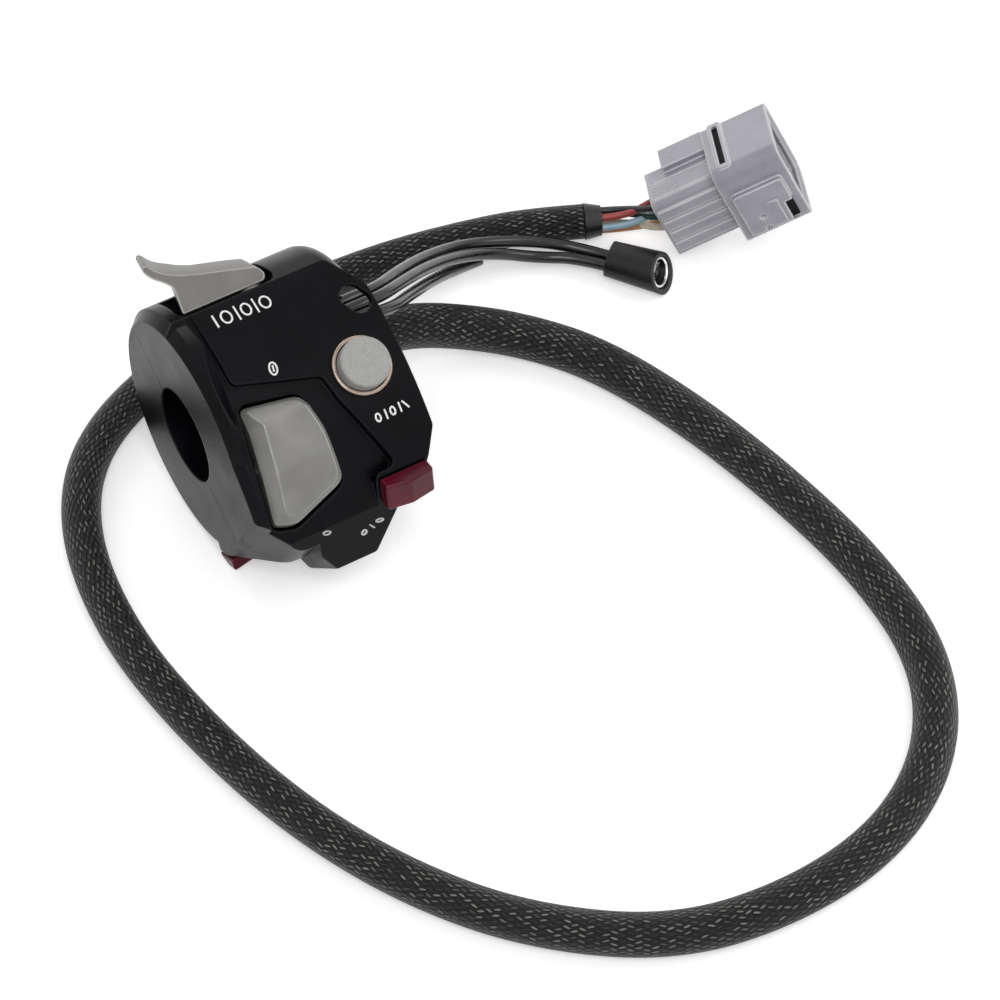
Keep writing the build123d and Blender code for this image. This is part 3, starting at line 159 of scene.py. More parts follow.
def smoothJacket(name, colour, worn, roughness=0.3):
    # Extruded PVC wire covering: shiny, with faint draw lines and finger marks
    material, tree, shader = newMaterial(name)
    place = addNode(tree, "TexCoord").outputs["Object"]
    fingers = 260.0  # a metre: marks about 4 mm apart
    marks = addNode(tree, "TexNoise", {"Vector": place, "Scale": fingers, "Detail": 4.0}).outputs[0]
    bump = addNode(tree, "Bump", {"Strength": 0.35, "Distance": 0.05 * millimetre, "Height": marks})
    paint = colourRamp(tree, marks, [(0.35, colour), (0.8, worn)])
    gloss = colourRamp(tree, marks, [(0.3, roughness - 0.06), (0.8, roughness + 0.12)])
    feed(tree, shader, paint, gloss, bump.outputs[0])
    return material


def dress(material, *names):
    for name in names:
        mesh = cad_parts[name].data
        if mesh.materials:
            mesh.materials[0] = material
        else:
            mesh.materials.append(material)


def addPiece(name, mesh, material, body="housing"):
    mesh.name = name
    mesh.materials.clear()
    mesh.materials.append(material)
    piece = bpy.data.objects.new(name, mesh)
    bpy.context.scene.collection.objects.link(piece)
    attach(piece, body)
    return piece


def routeSpline(name, points, resolution, radius=0.0, sides=6, widths=None, closed=False):
    curve = bpy.data.curves.new(name, "CURVE")
    curve.dimensions = "3D"
    curve.resolution_u = resolution
    curve.use_fill_caps = True
    curve.bevel_depth = radius * millimetre
    curve.bevel_resolution = sides
    spline = curve.splines.new("NURBS")
    spline.points.add(len(points) - 1)
    for i, (spot, point) in enumerate(zip(spline.points, points)):
        spot.co = (*[c * millimetre for c in point], 1)
        spot.radius = widths[i] if widths else 1.0
    spline.order_u = 3
    spline.use_endpoint_u = not closed
    spline.use_cyclic_u = closed
    line = bpy.data.objects.new(name, curve)
    bpy.context.scene.collection.objects.link(line)
    return line


def curveMesh(line):
    bpy.context.view_layer.update()
    graph = bpy.context.evaluated_depsgraph_get()
    return bpy.data.meshes.new_from_object(line.evaluated_get(graph))


def meshFrom(shape, name):
    mesh = bpy.data.meshes.new(name)
    shape.to_mesh(mesh)
    shape.free()
    return mesh


def wallBetween(shape, low, high):
    # Faces between two rings of corners that match one to one
    for i in range(len(low)):
        after = (i + 1) % len(low)
        shape.faces.new((low[i], low[after], high[after], high[i]))


def roundEdges(shape, edges, width, segments):
    bmesh.ops.bevel(
        shape, geom=edges, offset=width * millimetre, offset_type="OFFSET", affect="EDGES",
        segments=segments, profile=0.5, material=-1, clamp_overlap=True,
    )


# Harness
harnessFloor = -24.0
harness = {
    "radius": 4.8, "length": 0.6209, "carriers": 23, "cell": 3.2, "lobes": 0.13, "wide": 1.1, "narrow": 0.86,
    # how fast a bundle falls away across it and along it, and how fast its glint does
    "bundleRound": 3.2, "archRound": 3.0, "glintRound": 16.0,
    "threads": 4, "threadDepth": 0.09, "rise": 0.42,
    "swell": [(3, 60, 1.0, 0.0), (5, -42, 0.6, 1.0)],  # lobes round it, millimetres a radian along it, share, shift
    "route": [
        (20.6, 14.79, -12.86), (28.6, 14.79, -12.86), (40, 16.6, -16.5), (52.5, 14.5, -21.5), (65.5, 6, harnessFloor),
        (76.5, -9, harnessFloor), (85.5, -33, harnessFloor), (92, -61, harnessFloor), (96, -91, harnessFloor),
        (94, -118, harnessFloor), (82, -139, harnessFloor), (61, -153, harnessFloor), (35, -157, harnessFloor),
        (8, -152.5, harnessFloor), (-16, -135, harnessFloor), (-32.5, -113, harnessFloor), (-44.5, -86, harnessFloor),
        (-51.5, -56, harnessFloor), (-54.5, -26, harnessFloor), (-50, 4, harnessFloor), (-37, 26, harnessFloor),
        (-13, 38.5, harnessFloor), (17, 44, harnessFloor), (48, 43.5, harnessFloor), (75, 38, harnessFloor),
        (87.8, 33.4, harnessFloor), (96, 29.6, harnessFloor),
    ],
}


def hump(tree, share, steepness):
    # 1 in the middle of a bundle, falling away with the square of the distance from it
    squared = sums(tree, "POWER", sums(tree, "ABSOLUTE", share), 2.0)
    return sums(tree, "SUBTRACT", 1.0, sums(tree, "MULTIPLY", squared, steepness))


def braidMaterial():
    # Expandable sleeve: flat bundles of black PET monofilament, woven over and under round the wires.
    # The weave follows the sleeve's own map: U is the turn round it and V the millimetres along it.
    material, tree, shader = newMaterial("wovenBlackPet")
    way = addNode(tree, "SeparateXYZ", {0: addNode(tree, "UVMap").outputs[0]}).outputs
    around = sums(tree, "MULTIPLY", way[0], harness["carriers"])
    along = sums(tree, "DIVIDE", way[1], harness["cell"])
    right = sums(tree, "ADD", around, along)
    left = sums(tree, "SUBTRACT", around, along)
    rightShare = sums(tree, "SUBTRACT", sums(tree, "FRACT", right), 0.5)
    leftShare = sums(tree, "SUBTRACT", sums(tree, "FRACT", left), 0.5)
    count = sums(tree, "ADD", sums(tree, "FLOOR", right), sums(tree, "FLOOR", left))
    over = sums(tree, "GREATER_THAN", sums(tree, "PINGPONG", count, 1.0), 0.5)
    cross = addNode(tree, "Mix", {0: over, 2: rightShare, 3: leftShare}).outputs[0]
    run = addNode(tree, "Mix", {0: over, 2: leftShare, 3: rightShare}).outputs[0]
    bulge = hump(tree, cross, harness["bundleRound"])
    arch = hump(tree, run, harness["archRound"])
    wave = sums(tree, "COSINE", sums(tree, "MULTIPLY", cross, 2 * math.pi * harness["threads"]))
    threads = sums(tree, "MULTIPLY", wave, harness["threadDepth"])
    height = sums(tree, "ADD", sums(tree, "MULTIPLY", bulge, arch), threads)
    cell = addNode(tree, "CombineXYZ", {0: sums(tree, "FLOOR", right), 1: sums(tree, "FLOOR", left)}).outputs[0]
    chance = addNode(tree, "TexWhiteNoise", {"Vector": cell}, noise_dimensions="3D").outputs[0]
    # Pale flecks on the crests of some bundles are painted glints on the shiny filaments
    thin = hump(tree, cross, harness["glintRound"])
    lit = colourRamp(tree, sums(tree, "MULTIPLY", thin, arch), [(0.35, 0.0), (0.75, 1.0)])
    paintedGlint = sums(tree, "MULTIPLY", lit, colourRamp(tree, chance, [(0.3, 0.08), (0.95, 1.0)]))
    tones = {0: paintedGlint, 6: hexColour("#070708"), 7: hexColour("#827f79")}
    colour = addNode(tree, "Mix", tones, data_type="RGBA").outputs[2]
    bump = addNode(tree, "Bump", {"Strength": 1.0, "Distance": harness["rise"] * millimetre, "Height": height})
    feed(tree, shader, colour, colourRamp(tree, chance, [(0.0, 0.3), (1.0, 0.5)]), bump.outputs[0])
    shader.inputs["Specular IOR Level"].default_value = 0.22
    return material


def makeHarness():
    # The sleeve is wide over the bundle by the housing and drawn in towards the plug
    last = len(harness["route"]) - 1
    widths = [harness["wide"] + (harness["narrow"] - harness["wide"]) * i / last for i in range(last + 1)]
    widths[0] = 1.0
    line = routeSpline("harnessLine", harness["route"], 24, widths=widths)
    middle = [v.co.copy() for v in curveMesh(line).vertices]
    reach = [0.0]
    for a, b in zip(middle, middle[1:]):
        reach.append(reach[-1] + (b - a).length)
    line.data.use_fill_caps = False
    line.data.bevel_depth = harness["radius"] * millimetre
    line.data.bevel_resolution = 14
    mesh = curveMesh(line)
    bpy.data.objects.remove(line)
    shape = bmesh.new()
    shape.from_mesh(mesh)
    layer = shape.loops.layers.uv[0]
    last = len(middle) - 1
    wires = harness["lobes"] * millimetre
    for vertex in shape.verts:
        loop = vertex.link_loops[0]
        step = round(loop[layer].uv.x * last)
        turn = loop[layer].uv.y * 2 * math.pi
        travel = reach[step] / millimetre
        swell = sum(
            share * math.sin(count * turn + travel / pitch + shift) for count, pitch, share, shift in harness["swell"]
        )
        vertex.co += (vertex.co - middle[step]).normalized() * swell * wires
    for sleeveFace in shape.faces:
        sleeveFace.smooth = True
        for loop in sleeveFace.loops:
            was = loop[layer].uv.copy()
            loop[layer].uv = (was.y, reach[round(was.x * last)] / millimetre)
    bmesh.ops.holes_fill(shape, edges=[edge for edge in shape.edges if edge.is_boundary])
    shape.to_mesh(mesh)
    shape.free()
    piece = addPiece("harnessBraid", mesh, braidMaterial())
    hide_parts("harness")
    return piece, middle


harnessBraid, harnessPath = makeHarness()
print("harness made,", len(harnessBraid.data.polygons), "faces")

# Leads and pigtails
leads = {
    "radius": 1.4, "drawnIn": 0.55,  # the spare lead is drawn in to this share at its end
    "leadUpper": {
        "node": "lead_upper", "length": 0.107, "far": "fitting",
        "route": [
            (11, 4.821, 14.836), (20.5, 4.821, 14.836), (28.8, 8.1, 10.6), (38.5, 16.2, 2.8), (50.2, 24.6, -6.4),
            (62.1, 30.4, -14.6), (73.1, 31.2, -19.8), (83.3, 28.4, -22.8),
        ],
    },
    "leadLower": {
        "node": "lead_lower", "length": 0.1057, "far": "fitting",
        "route": [
            (11, 1.631, 15.515), (20.5, 1.631, 15.515), (27.5, 3.2, 13.4), (36.1, 9.8, 6.8), (47.6, 18.6, -2.8),
            (59.9, 25.8, -12.8), (71.4, 28.5, -20.4), (81.1, 26.1, -25),
        ],
    },
    "leadStub": {
        "node": "lead_stub", "length": 0.0817, "far": "bare",
        "route": [
            (11, -1.631, 15.515), (20.5, -1.631, 15.515), (28.6, 0.8, 11), (37.5, 9.1, 2.4), (48.9, 18.9, -8.3),
            (60, 27.2, -18.4), (69.1, 31.9, -25.5),
        ],
    },
}
boot = {
    "place": (95.2, 16.6, -24.3), "heading": -51.0, "pitch": 3.1, "low": 1.0, "run": 7.6,
    "length": 15.0, "foot": -4.5, "slant": 25.0, "ring": (3.75, 2.85), "sunk": 0.7, "wire": 0.42,
}
bootPlace = Matrix.Translation(Vector(boot["place"])) @ Matrix.Rotation(math.radians(boot["heading"]), 4, "Z")


def makeLeads():
    jacket = smoothJacket("glossBlackPvc", "#0a0a0b", "#141416", 0.22)
    made = []
    for name, side in (("leadUpper", 1), ("leadLower", -1), ("leadStub", 0)):
        lead = leads[name]
        route = list(lead["route"])
        if side:
            for back in (-boot["run"], 0):
                route.append(tuple(bootPlace @ Vector((back, side * boot["pitch"] / 2, -boot["low"]))))
        widths = [1.0] * len(route)
        if not side:
            widths[-1] = leads["drawnIn"]
        piece = routeSpline(name, route, 14, leads["radius"], 7, widths)
        piece.data.materials.append(jacket)
        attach(piece, "housing")
        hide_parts(lead["node"])
        made.append((piece, lead, route))
    return made


plug = {
    "place": (110.7, 18.7, -28.8), "heading": -19.6, "pitch": 24.6, "roll": -9.8,
    "width": 15.0, "height": 17.8, "step": 3.6, "room": 7.0,
}
plugRoll, plugPitch = math.radians(plug["roll"]), math.radians(plug["pitch"])
plugLift = (plug["width"] / 2 * abs(math.sin(plugRoll)) + plug["height"] / 2 * math.cos(plugRoll)) * math.cos(plugPitch)
plugPlace = (
    Matrix.Translation(Vector(plug["place"]) + Vector((0, 0, plugLift)))
    @ Matrix.Rotation(math.radians(plug["heading"]), 4, "Z")
    @ Matrix.Rotation(-plugPitch, 4, "Y")
    @ Matrix.Rotation(plugRoll, 4, "X")
)
pigtails = {
    "radius": 0.85, "ring": 2.4, "out": 6.0, "collar": 4.0, "seal": 1.4, "tucked": 1.5, "into": 1.0,
    "wires": [
        ("pigtail_black", "#101012", "#1c1c1f"), ("pigtail_red", "#8f2f2c", "#a8443e"),
        ("pigtail_green", "#16302f", "#244746"), ("pigtail_blue", "#8fb0bf", "#b4ccd6"),
        ("pigtail_cream", "#d9c7b2", "#ecdfd0"), ("pigtail_tan", "#b9835a", "#d09d74"),
    ],
}


def makePigtails():
    before, end = Vector(harness["route"][-2]), Vector(harness["route"][-1])
    out = (end - before).normalized()
    high = Vector((0, 0, 1))
    across = out.cross(high)
    made = []
    for number, (node, colour, worn) in enumerate(pigtails["wires"]):
        side = -1 if number % 2 == 0 else 1
        row = 1 - number // 2
        turn = math.radians(60 * (number // 2) + 30)
        ring = high * pigtails["ring"] * math.cos(turn) + across * (-pigtails["ring"] * math.sin(turn) * (-side))
        start = end + out * (pigtails["collar"] - pigtails["tucked"]) + ring
        leave = end + out * (pigtails["collar"] + pigtails["out"]) + ring
        back = plug["room"] - pigtails["seal"]
        arrive = plugPlace @ Vector((back - pigtails["out"], side * plug["step"] / 2, row * plug["step"]))
        inside = plugPlace @ Vector((back + pigtails["into"], side * plug["step"] / 2, row * plug["step"]))
        name = "wire" + node.split("_")[1].capitalize()
        piece = routeSpline(name, [start, leave, arrive, inside], 10, pigtails["radius"], 5)
        piece.data.materials.append(smoothJacket(name + "Pvc", colour, worn, 0.35))
        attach(piece, "housing")
        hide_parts(node)
        made.append(piece)
    return made


def makeBootRing():
    # The bright rim of the terminal's collar, just inside the boot's slanted mouth
    points = []
    for step in range(16):
        turn = 2 * math.pi * step / 16
        across, rise = boot["ring"][0] * math.cos(turn), boot["ring"][1] * math.sin(turn)
        reach = boot["length"] - boot["sunk"] - (rise - boot["foot"]) * math.tan(math.radians(boot["slant"]))
        points.append(tuple(bootPlace @ Vector((reach, across, rise))))
    line = routeSpline("bootRingLine", points, 6, boot["wire"], 3, closed=True)
    mesh = curveMesh(line)
    bpy.data.objects.remove(line)
    mesh.polygons.foreach_set("use_smooth", [True] * len(mesh.polygons))
    return addPiece("bootRing", mesh, metal("tinPlatedRim", "#e2e2e4", "#c2c3c6", 0.18))


# Near-black strips that paint the shade in the plug's slot and in the latch's window, and the ramp of the latch:
# middles and sizes along the plug, across it and up it, and how far the ramp's low end drops
plugInlays = {
    "paintedShadeStrips": [((19.7, 0, 10.85), (1.4, 14.4, 0.5), 0), ((29.45, -10.35, -5.3), (1.8, 0.5, 5.5), 0)],
    "plugRamp": [((25.6, -11.65, -4.2), (3.4, 0.7, 7.4), 0.55)],
}


def makeInlay(name, material):
    shape = bmesh.new()
    for middle, size, drop in plugInlays[name]:
        block = bmesh.ops.create_cube(shape, size=1)
        place = Matrix.Translation(middle) @ Matrix.Diagonal((*size, 1))
        bmesh.ops.transform(shape, matrix=place, verts=block["verts"])
        for vertex in block["verts"]:
            if vertex.co.x < middle[0] and vertex.co.y < middle[1]:
                vertex.co.y += drop
    bmesh.ops.transform(shape, matrix=Matrix.Scale(millimetre, 4) @ plugPlace, verts=shape.verts[:])
    return addPiece(name, meshFrom(shape, name), material)


bootRing = makeBootRing()
# Its near-white edge colour is partly rubbed wear and partly a painted highlight on the plug's rounded edges
plugGrey = moulded("greyPbt", "#918f97", "#9f9ea6", 0.3, 0.4, 0.015, edge=0.8, edgeWearAndHighlight="#f2f1f5")
plugBits = [
    # Near-black strips standing for the shade in the slot and the latch's window: painted shade
    makeInlay(
        "paintedShadeStrips", moulded("paintedShadeBlack", "#060607", "#0c0c0e", 0.6, 0.4, 0.03, specular=0.15),
    ),
    makeInlay("plugRamp", plugGrey),
]
leadPieces = makeLeads()
wirePieces = makePigtails()
print("leads and pigtails made")

# Printed marks
# Heights of the crowned plate and of the sloping facet, in the housing's own frame
face = {"radius": 60.0, "top": 26.0, "offset": 3.0, "facetUp": -33.0, "facetOut": 14.0, "facetSlope": 53.13}
marks = {"proud": 0.03, "stroke": 0.42, "thick": 0.12}


def plateHeight(up):
    return face["top"] - face["radius"] + math.sqrt(face["radius"] ** 2 - (up + face["offset"]) ** 2)


def facetHeight(up):
    return face["facetOut"] + (face["facetUp"] - up) * math.tan(math.radians(face["facetSlope"]))


def stroke(shape, centre, size, turn, hollow, sides=28):
    # One printed shape, flat at first: a ring, or a bar of the given length and width
    place = Matrix.Translation((*centre, 0)) @ Matrix.Rotation(math.radians(turn), 4, "Z")
    if not hollow:
        bar = bmesh.ops.create_grid(shape, x_segments=2, y_segments=6, size=0.5)
        bmesh.ops.transform(shape, matrix=place @ Matrix.Diagonal((*size, 1, 1)), verts=bar["verts"])
        return
    corners = []
    for trim in (0, 2 * marks["stroke"]):
        circle = bmesh.ops.create_circle(shape, segments=sides, radius=0.5)
        shrunk = Matrix.Diagonal((size[0] - trim, size[1] - trim, 1, 1))
        bmesh.ops.transform(shape, matrix=place @ shrunk, verts=circle["verts"])
        corners += circle["verts"]
    loops = {edge for corner in corners for edge in corner.link_edges}
    bmesh.ops.bridge_loops(shape, edges=list(loops))


def printOn(name, drawing, height, material):
    shape = bmesh.new()
    for centre, size, turn, hollow in drawing:
        stroke(shape, centre, size, turn, hollow)
    for vertex in shape.verts:
        vertex.co.z = height(vertex.co.y) + marks["proud"]
    bmesh.ops.solidify(shape, geom=shape.faces[:], thickness=-marks["thick"])
    bmesh.ops.recalc_face_normals(shape, faces=shape.faces[:])
    bmesh.ops.transform(shape, matrix=lean @ Matrix.Scale(millimetre, 4), verts=shape.verts[:])
    return addPiece(name, meshFrom(shape, name), material)


def whitePrint():
    # Pad-printed white ink, slightly uneven
    material, tree, shader = newMaterial("padPrintedWhite")
    place = addNode(tree, "TexCoord").outputs["Object"]
    specks = 1800.0  # a metre: thin places about 0.6 mm across
    thin = addNode(tree, "TexNoise", {"Vector": place, "Scale": specks, "Detail": 3.0}).outputs[0]
    tree.links.new(colourRamp(tree, thin, [(0.3, "#c9c9cb"), (0.6, "#f0f0f0")]), shader.inputs["Base Color"])
    shader.inputs["Roughness"].default_value = 0.5
    return material


ink = whitePrint()
bar, ring = False, True
topRow = [
    ((-13.3, 16.6), (0.45, 3.2), 0, bar), ((-10.6, 16.6), (2.7, 3.3), 0, ring), ((-8.1, 16.5), (0.4, 3.6), 0, bar),
    ((-5.9, 16.5), (2.5, 3.2), 0, ring), ((-3.7, 16.4), (0.4, 3.6), 0, bar), ((-1.4, 16.3), (2.7, 3.2), 0, ring),
]
printOn("marksLever", topRow, plateHeight, ink)
printOn("markRocker", [((-7.2, 1.9), (2.1, 3.2), -12, ring), ((-7.2, 1.9), (0.4, 1.5), -12, bar)], plateHeight, ink)
buttonRow = [
    ((9.6, -16.7), (1.5, 2.1), 0, ring), ((11.5, -16.7), (0.4, 2.2), 0, bar), ((13.2, -16.6), (1.5, 2.1), 0, ring),
    ((15.0, -16.5), (0.4, 2.2), 0, bar), ((16.4, -16.4), (0.4, 2.2), 30, bar),
]
printOn("marksButton", buttonRow, plateHeight, ink)
chinRow = [
    ((-3.2, -37.6), (2.0, 1.1), 30, ring), ((-0.8, -37.0), (0.4, 1.3), 10, bar), ((1.6, -36.4), (2.0, 1.1), 0, ring),
]
printOn("marksChin", chinRow, facetHeight, ink)
printOn("markChinRing", [((-9.3, -33.9), (1.9, 1.3), 0, ring)], facetHeight, ink)
print("marks printed")

# The rocker, as (along the bar, up the front, out of the front) in the housing's own frame
rocker = {
    "foot": 15.6, "round": 0.4, "segments": 3, "steps": 4,
    "sharp": 0.16,  # edges that turn by more than this, in radians, are rounded
    "turns": [1.8, 1.8, 0.4, 2.5, 0.5, 2.2, 1.6, 1.5, 0.5, 0.5],
    "rim": [
        (-17.3, -2.9, 22.7), (-4.6, -5.4, 24.7), (-3.8, -8.4, 26.6), (-2.4, -14, 25.2), (-2.4, -19, 23.9),
        (-2.4, -25.4, 21.0), (-15.2, -29.8, 19.0), (-20.1, -28.3, 18.5), (-19.1, -19, 22.4), (-18, -8.4, 24.9),
    ],
    "top": [
        (-16.6, -3.7, 23.9), (-5.3, -6.0, 25.4), (-4.7, -8.3, 27.2), (-3.2, -14.3, 25.8), (-3.2, -19, 24.6),
        (-3.3, -24.8, 22.0), (-14.7, -28.7, 20.2), (-17.2, -27.6, 20.7), (-16.2, -19, 24.6), (-14.9, -8.6, 27.2),
    ],
}


def roundedRing(corners, turns, steps):
    # Each corner of a closed ring becomes a short curve of steps + 1 places that starts turns away from it
    ring = []
    for i, corner in enumerate(corners):
        here, before = Vector(corner), Vector(corners[i - 1])
        after = Vector(corners[(i + 1) % len(corners)])
        start = here + (before - here).normalized() * turns[i]
        end = here + (after - here).normalized() * turns[i]
        for step in range(steps + 1):
            share = step / steps
            ring.append(start * (1 - share) ** 2 + here * 2 * share * (1 - share) + end * share ** 2)
    return ring


def makeRocker(material):
    # Moulded cap with a lit ridge, a sloping strip down its left side and soft edges
    shape = bmesh.new()
    rim, crown = [roundedRing(rocker[ring], rocker["turns"], rocker["steps"]) for ring in ("rim", "top")]
    places = [[Vector((p.x, p.y, rocker["foot"])) for p in rim], rim, crown]
    rows = [[shape.verts.new(lean @ (place * millimetre)) for place in row] for row in places]
    for low, high in zip(rows, rows[1:]):
        wallBetween(shape, low, high)
    top = rows[2]
    each = rocker["steps"] + 1
    ridgeRight, waistRight, waistLeft, ridgeLeft = (corner * each + each // 2 for corner in (2, 4, 8, 9))
    shape.faces.new(top[ridgeLeft:] + top[:ridgeRight + 1])
    shape.faces.new(top[ridgeRight:waistRight + 1] + top[waistLeft:ridgeLeft + 1])
    shape.faces.new(top[waistRight:waistLeft + 1])
    shape.faces.new(rows[0])
    bmesh.ops.recalc_face_normals(shape, faces=shape.faces[:])
    foot = set(rows[0])
    sharp = [
        edge for edge in shape.edges
        if not foot.intersection(edge.verts) and edge.calc_face_angle(0) > rocker["sharp"]
    ]
    roundEdges(shape, sharp, rocker["round"], rocker["segments"])
    piece = addPiece("rockerFacets", meshFrom(shape, "rockerFacets"), material, "rocker")
    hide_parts("rocker_cap")


# The thumb lever, as (along the bar, up the front) on its front face; its back is set back and swept up
lever = {
    "front": 20.0, "back": 13.0, "sweep": 4.2, "base": 21.3, "full": 24.4, "round": 0.9, "segments": 4, "steps": 3,
    "narrow": (-10.0, 0.3, 1.8),  # left of this place the back is drawn in by this share, up to this much
    "outline": [
        (-18.2, 21.3), (1.6, 21.3), (2.3, 22.6), (1.5, 24.4), (-1.2, 25.3), (-5.5, 26.5), (-10.9, 27.9),
        (-15.5, 29.4),
        (-18.6, 31.2), (-20.0, 32.6), (-20.8, 33.9), (-21.8, 34.2), (-22.3, 33.3), (-22.0, 32.2), (-20.9, 30.6),
        (-18.9, 28.9), (-17.6, 27.2),
    ],
    "turns": [0.5, 0.5, 0.5, 0.7, 1.0, 1.5, 2.0, 1.5, 0.9, 0.7, 0.45, 0.45, 0.5, 0.7, 0.8, 0.8, 0.8],
    "shaft": {"radius": 2.2, "along": -1.2, "out": 16.5, "low": 12.2, "high": 23.0, "sides": 32},
}


def makeLever(material):
    shape = bmesh.new()
    outline = roundedRing([(x, up, 0) for x, up in lever["outline"]], lever["turns"], lever["steps"])
    rows = []
    start, share, most = lever["narrow"]
    for out, sweep, drawn in ((lever["front"], 0.0, 0.0), (lever["back"], lever["sweep"], share)):
        row = []
        for spot in outline:
            swept = min(1.0, max(0.0, (spot.y - lever["base"]) / (lever["full"] - lever["base"])))
            across = spot.x + min(most, max(0.0, start - spot.x) * drawn)
            row.append(shape.verts.new(lean @ (Vector((across, spot.y + sweep * swept, out)) * millimetre)))
        rows.append(row)
    wallBetween(shape, rows[0], rows[1])
    ends = [shape.faces.new(row) for row in rows]
    bmesh.ops.recalc_face_normals(shape, faces=shape.faces[:])
    roundEdges(shape, [edge for end in ends for edge in end.edges], lever["round"], lever["segments"])
    shaft = lever["shaft"]
    length = shaft["high"] - shaft["low"]
    rod = bmesh.ops.create_cone(
        shape, cap_ends=True, segments=shaft["sides"], radius1=shaft["radius"], radius2=shaft["radius"], depth=length,
    )
    place = Matrix.Translation((shaft["along"], (shaft["high"] + shaft["low"]) / 2, shaft["out"]))
    place = lean @ Matrix.Scale(millimetre, 4) @ place @ Matrix.Rotation(math.pi / 2, 4, "X")
    bmesh.ops.transform(shape, matrix=place, verts=rod["verts"])
    for leverFace in shape.faces:
        leverFace.smooth = len(leverFace.verts) == 4
    piece = addPiece("leverTab", meshFrom(shape, "leverTab"), material, "lever")
    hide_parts("thumb_lever")


# The thin lip that stands round the rocker's opening in the sunk field
lip = {"gap": 0.75, "width": 0.55, "proud": 0.35, "deep": 0.4, "fieldTop": 24.0}


def makeLip(material):
    shape = bmesh.new()
    rim = roundedRing(rocker["rim"], rocker["turns"], rocker["steps"])
    corners = [Vector((x, up)) for x, up, out in rim]
    middle = sum(corners, Vector((0, 0))) / len(corners)
    count = len(corners)
    rows = []
    for out, high in ((0, False), (0, True), (1, True), (1, False)):
        row = []
        for i, corner in enumerate(corners):
            before = (corner - corners[i - 1]).normalized()
            after = (corners[(i + 1) % count] - corner).normalized()
            away = Vector((-(before.y + after.y), before.x + after.x)).normalized()
            away *= 1 if away.dot(corner - middle) > 0 else -1
            spot = corner + away * (lip["gap"] + out * lip["width"])
            level = lip["fieldTop"] - face["radius"] + math.sqrt(face["radius"] ** 2 - spot.y ** 2)
            rise = lip["proud"] if high else -lip["deep"]
            row.append(shape.verts.new(lean @ (Vector((spot.x, spot.y, level + rise)) * millimetre)))
        rows.append(row)
    for low, high in zip(rows, rows[1:] + rows[:1]):
        wallBetween(shape, low, high)
    bmesh.ops.recalc_face_normals(shape, faces=shape.faces[:])
    addPiece("rockerLip", meshFrom(shape, "rockerLip"), material)


# Materials of the solid pieces
# Their pale edge colours are partly rubbed wear and partly painted highlights
blackShell = moulded(
    "satinBlackAbs", "#060609", "#0a0a0f", 0.3, 0.35, 0.015, edge=0.6, edgeWearAndHighlight="#1d1d23", specular=0.1,
)
# A darker copy of the silver-grey paint for the lever: its darker tone is painted shade
shadedSilverPaint = moulded(
    "silverGreyPaintShaded", "#676562", "#73716e", 0.4, 0.3, 0.02, edge=0.6, edgeWearAndHighlight="#d6d4cf", metallic=0.25,
)
silverPaint = moulded("silverGreyPaint", "#7b7a76", "#8a8986", 0.4, 0.3, 0.02, edge=0.6, edgeWearAndHighlight="#d6d4cf", metallic=0.25)
dress(blackShell, "front_shell", "rear_shell")
dress(shadedSilverPaint, "thumb_lever")
dress(silverPaint, "rocker_cap")
makeRocker(silverPaint)
makeLever(shadedSilverPaint)
makeLip(blackShell)
dress(moulded("pebbledGreyAbs", "#989897", "#a4a3a0", 0.5, 0.7, 0.05, edge=0.4, blotch=0.8), "button_cap")
dress(metal("champagneAnodised", "#a8988a", "#8f8074", 0.34), "button_bezel")
dress(
    moulded(
        "darkRedPolycarbonate", "#48071a", "#5f0c20", 0.2, 0.5, 0.01, edge=0.35, edgeWearAndHighlight="#9a3a48", specular=0.25,
    ),
    "slider_knob", "trigger",
)
dress(plugGrey, "plug_housing")
dress(moulded("naturalNylon", "#9a927e", "#b3aa94", 0.5, 0.4, 0.02), "slider_carriage", "trigger_contact")
dress(
    moulded("brownLaminate", "#4f3319", "#684522", 0.55, 0.2, 0.02, blotch=3),
    "lever_board", "rocker_board", "button_board", "slider_board",
)
dress(
    moulded("blackEpdm", "#09090a", "#121213", 0.4, 0.5, 0.03, edge=0.5, edgeWearAndHighlight="#2b2928", specular=0.3),
    "harness_grommet", "lead_boot", "plug_seal",
)
dress(moulded("blackVinylTape", "#0c0c0d", "#151516", 0.35, 1.2, 0.08, edge=0.3), "harness_collar", "inner_loom")
dress(
    metal("zincPlatedSteel", "#a9aaad", "#8d8f94", 0.3),
    "clamp_screws", "rocker_pins", "trigger_pin", "lever_detent_leaf", "rocker_plunger",
)
dress(metal("springSteel", "#8f9094", "#77787c", 0.26), "rocker_spring", "button_spring", "trigger_spring")
dress(
    metal("springBrass", "#c79a55", "#a47a3c", 0.28), "lever_wiper", "rocker_wiper", "button_disc", "slider_wiper",
    "lever_contacts", "rocker_contacts", "button_contacts", "slider_contacts",
)
dress(metal("tinnedBrass", "#d6d6d8", "#b4b5b9", 0.2), "plug_terminals", "boot_terminal")
print("solid pieces dressed")


# Floor and light; the lamps are name, place, aim, size and power in metres and watts
studio = {
    "floor": -28.85, "reach": 3.0, "paper": "#f4f4f4", "glow": 0.42, "skyLight": 0.5, "skyShown": 1.0,
    "lamps": [
        ("keyLight", (-0.2, -0.6, 1.0), (0.02, -0.03, 0), 0.6, 5.0),
        ("fillLight", (0.8, -0.3, 0.6), (0.02, -0.03, 0), 0.5, 2.0),
        ("rearLight", (0.1, 0.9, 0.6), (0.02, 0.0, 0), 0.6, 2.5),
    ],
}


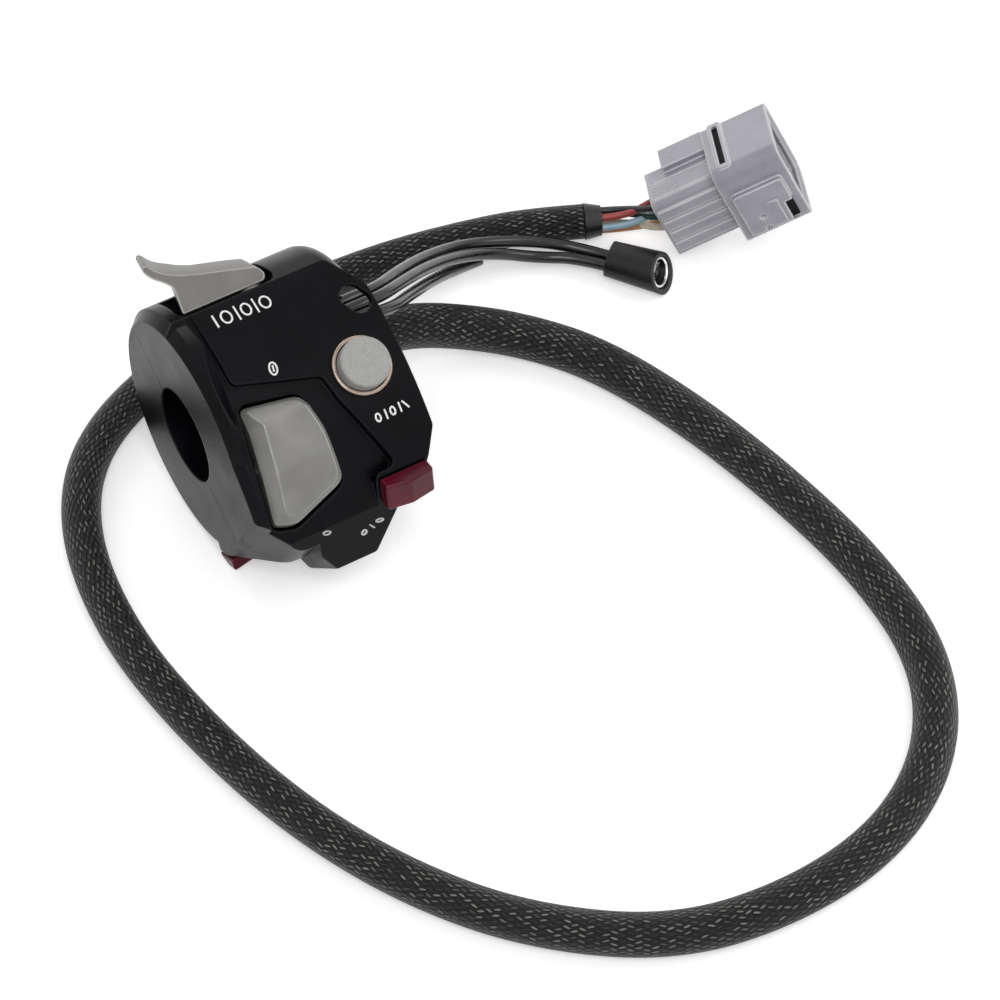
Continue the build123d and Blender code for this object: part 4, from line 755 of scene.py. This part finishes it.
def backgroundShown(tree):
    # 1 where a ray shows the background: seen straight, mirrored in metal or through something clear
    path = addNode(tree, "LightPath").outputs
    mirrored = sums(tree, "MAXIMUM", path["Is Glossy Ray"], path["Is Transmission Ray"])
    return sums(tree, "MAXIMUM", path["Is Camera Ray"], mirrored)


def makeFloor():
    shape = bmesh.new()
    bmesh.ops.create_grid(shape, x_segments=2, y_segments=2, size=studio["reach"])
    level = Matrix.Translation((0, 0, studio["floor"] * millimetre))
    bmesh.ops.transform(shape, matrix=level, verts=shape.verts[:])
    mesh = meshFrom(shape, "studioFloor")
    material, tree, shader = newMaterial("paleFloor")
    shader.inputs["Base Color"].default_value = hexColour(studio["paper"])
    shader.inputs["Roughness"].default_value = 0.9
    shader.inputs["Specular IOR Level"].default_value = 0.1
    seen = sums(tree, "MULTIPLY", backgroundShown(tree), studio["glow"])
    glow = addNode(tree, "Emission", {"Color": (1, 1, 1, 1), "Strength": seen})
    both = addNode(tree, "AddShader", {0: shader.outputs[0], 1: glow.outputs[0]})
    surface = next(node for node in tree.nodes if node.type == "OUTPUT_MATERIAL").inputs["Surface"]
    tree.links.new(both.outputs[0], surface)
    mesh.materials.append(material)
    floor = bpy.data.objects.new("studioFloor", mesh)
    bpy.context.scene.collection.objects.link(floor)


def areaLight(name, place, aim, size, power):
    data = bpy.data.lights.new(name, "AREA")
    data.shape = "SQUARE"
    data.size = size
    data.energy = power
    lamp = bpy.data.objects.new(name, data)
    lamp.location = place
    lamp.rotation_euler = (Vector(aim) - Vector(place)).to_track_quat("-Z", "Y").to_euler()
    bpy.context.scene.collection.objects.link(lamp)


def makeLight():
    world = bpy.data.worlds.new("studioWorld")
    world.use_nodes = True
    bpy.context.scene.world = world
    tree = world.node_tree
    tree.nodes.clear()
    strengths = {0: backgroundShown(tree), 2: studio["skyLight"], 3: studio["skyShown"]}
    strength = addNode(tree, "Mix", strengths).outputs[0]
    sky = addNode(tree, "Background", {"Color": (1, 1, 1, 1), "Strength": strength})
    addNode(tree, "OutputWorld", {"Surface": sky.outputs[0]})
    for lamp in studio["lamps"]:
        areaLight(*lamp)
    bpy.context.scene.view_settings.view_transform = "Standard"


makeFloor()
makeLight()
print("floor and light made")
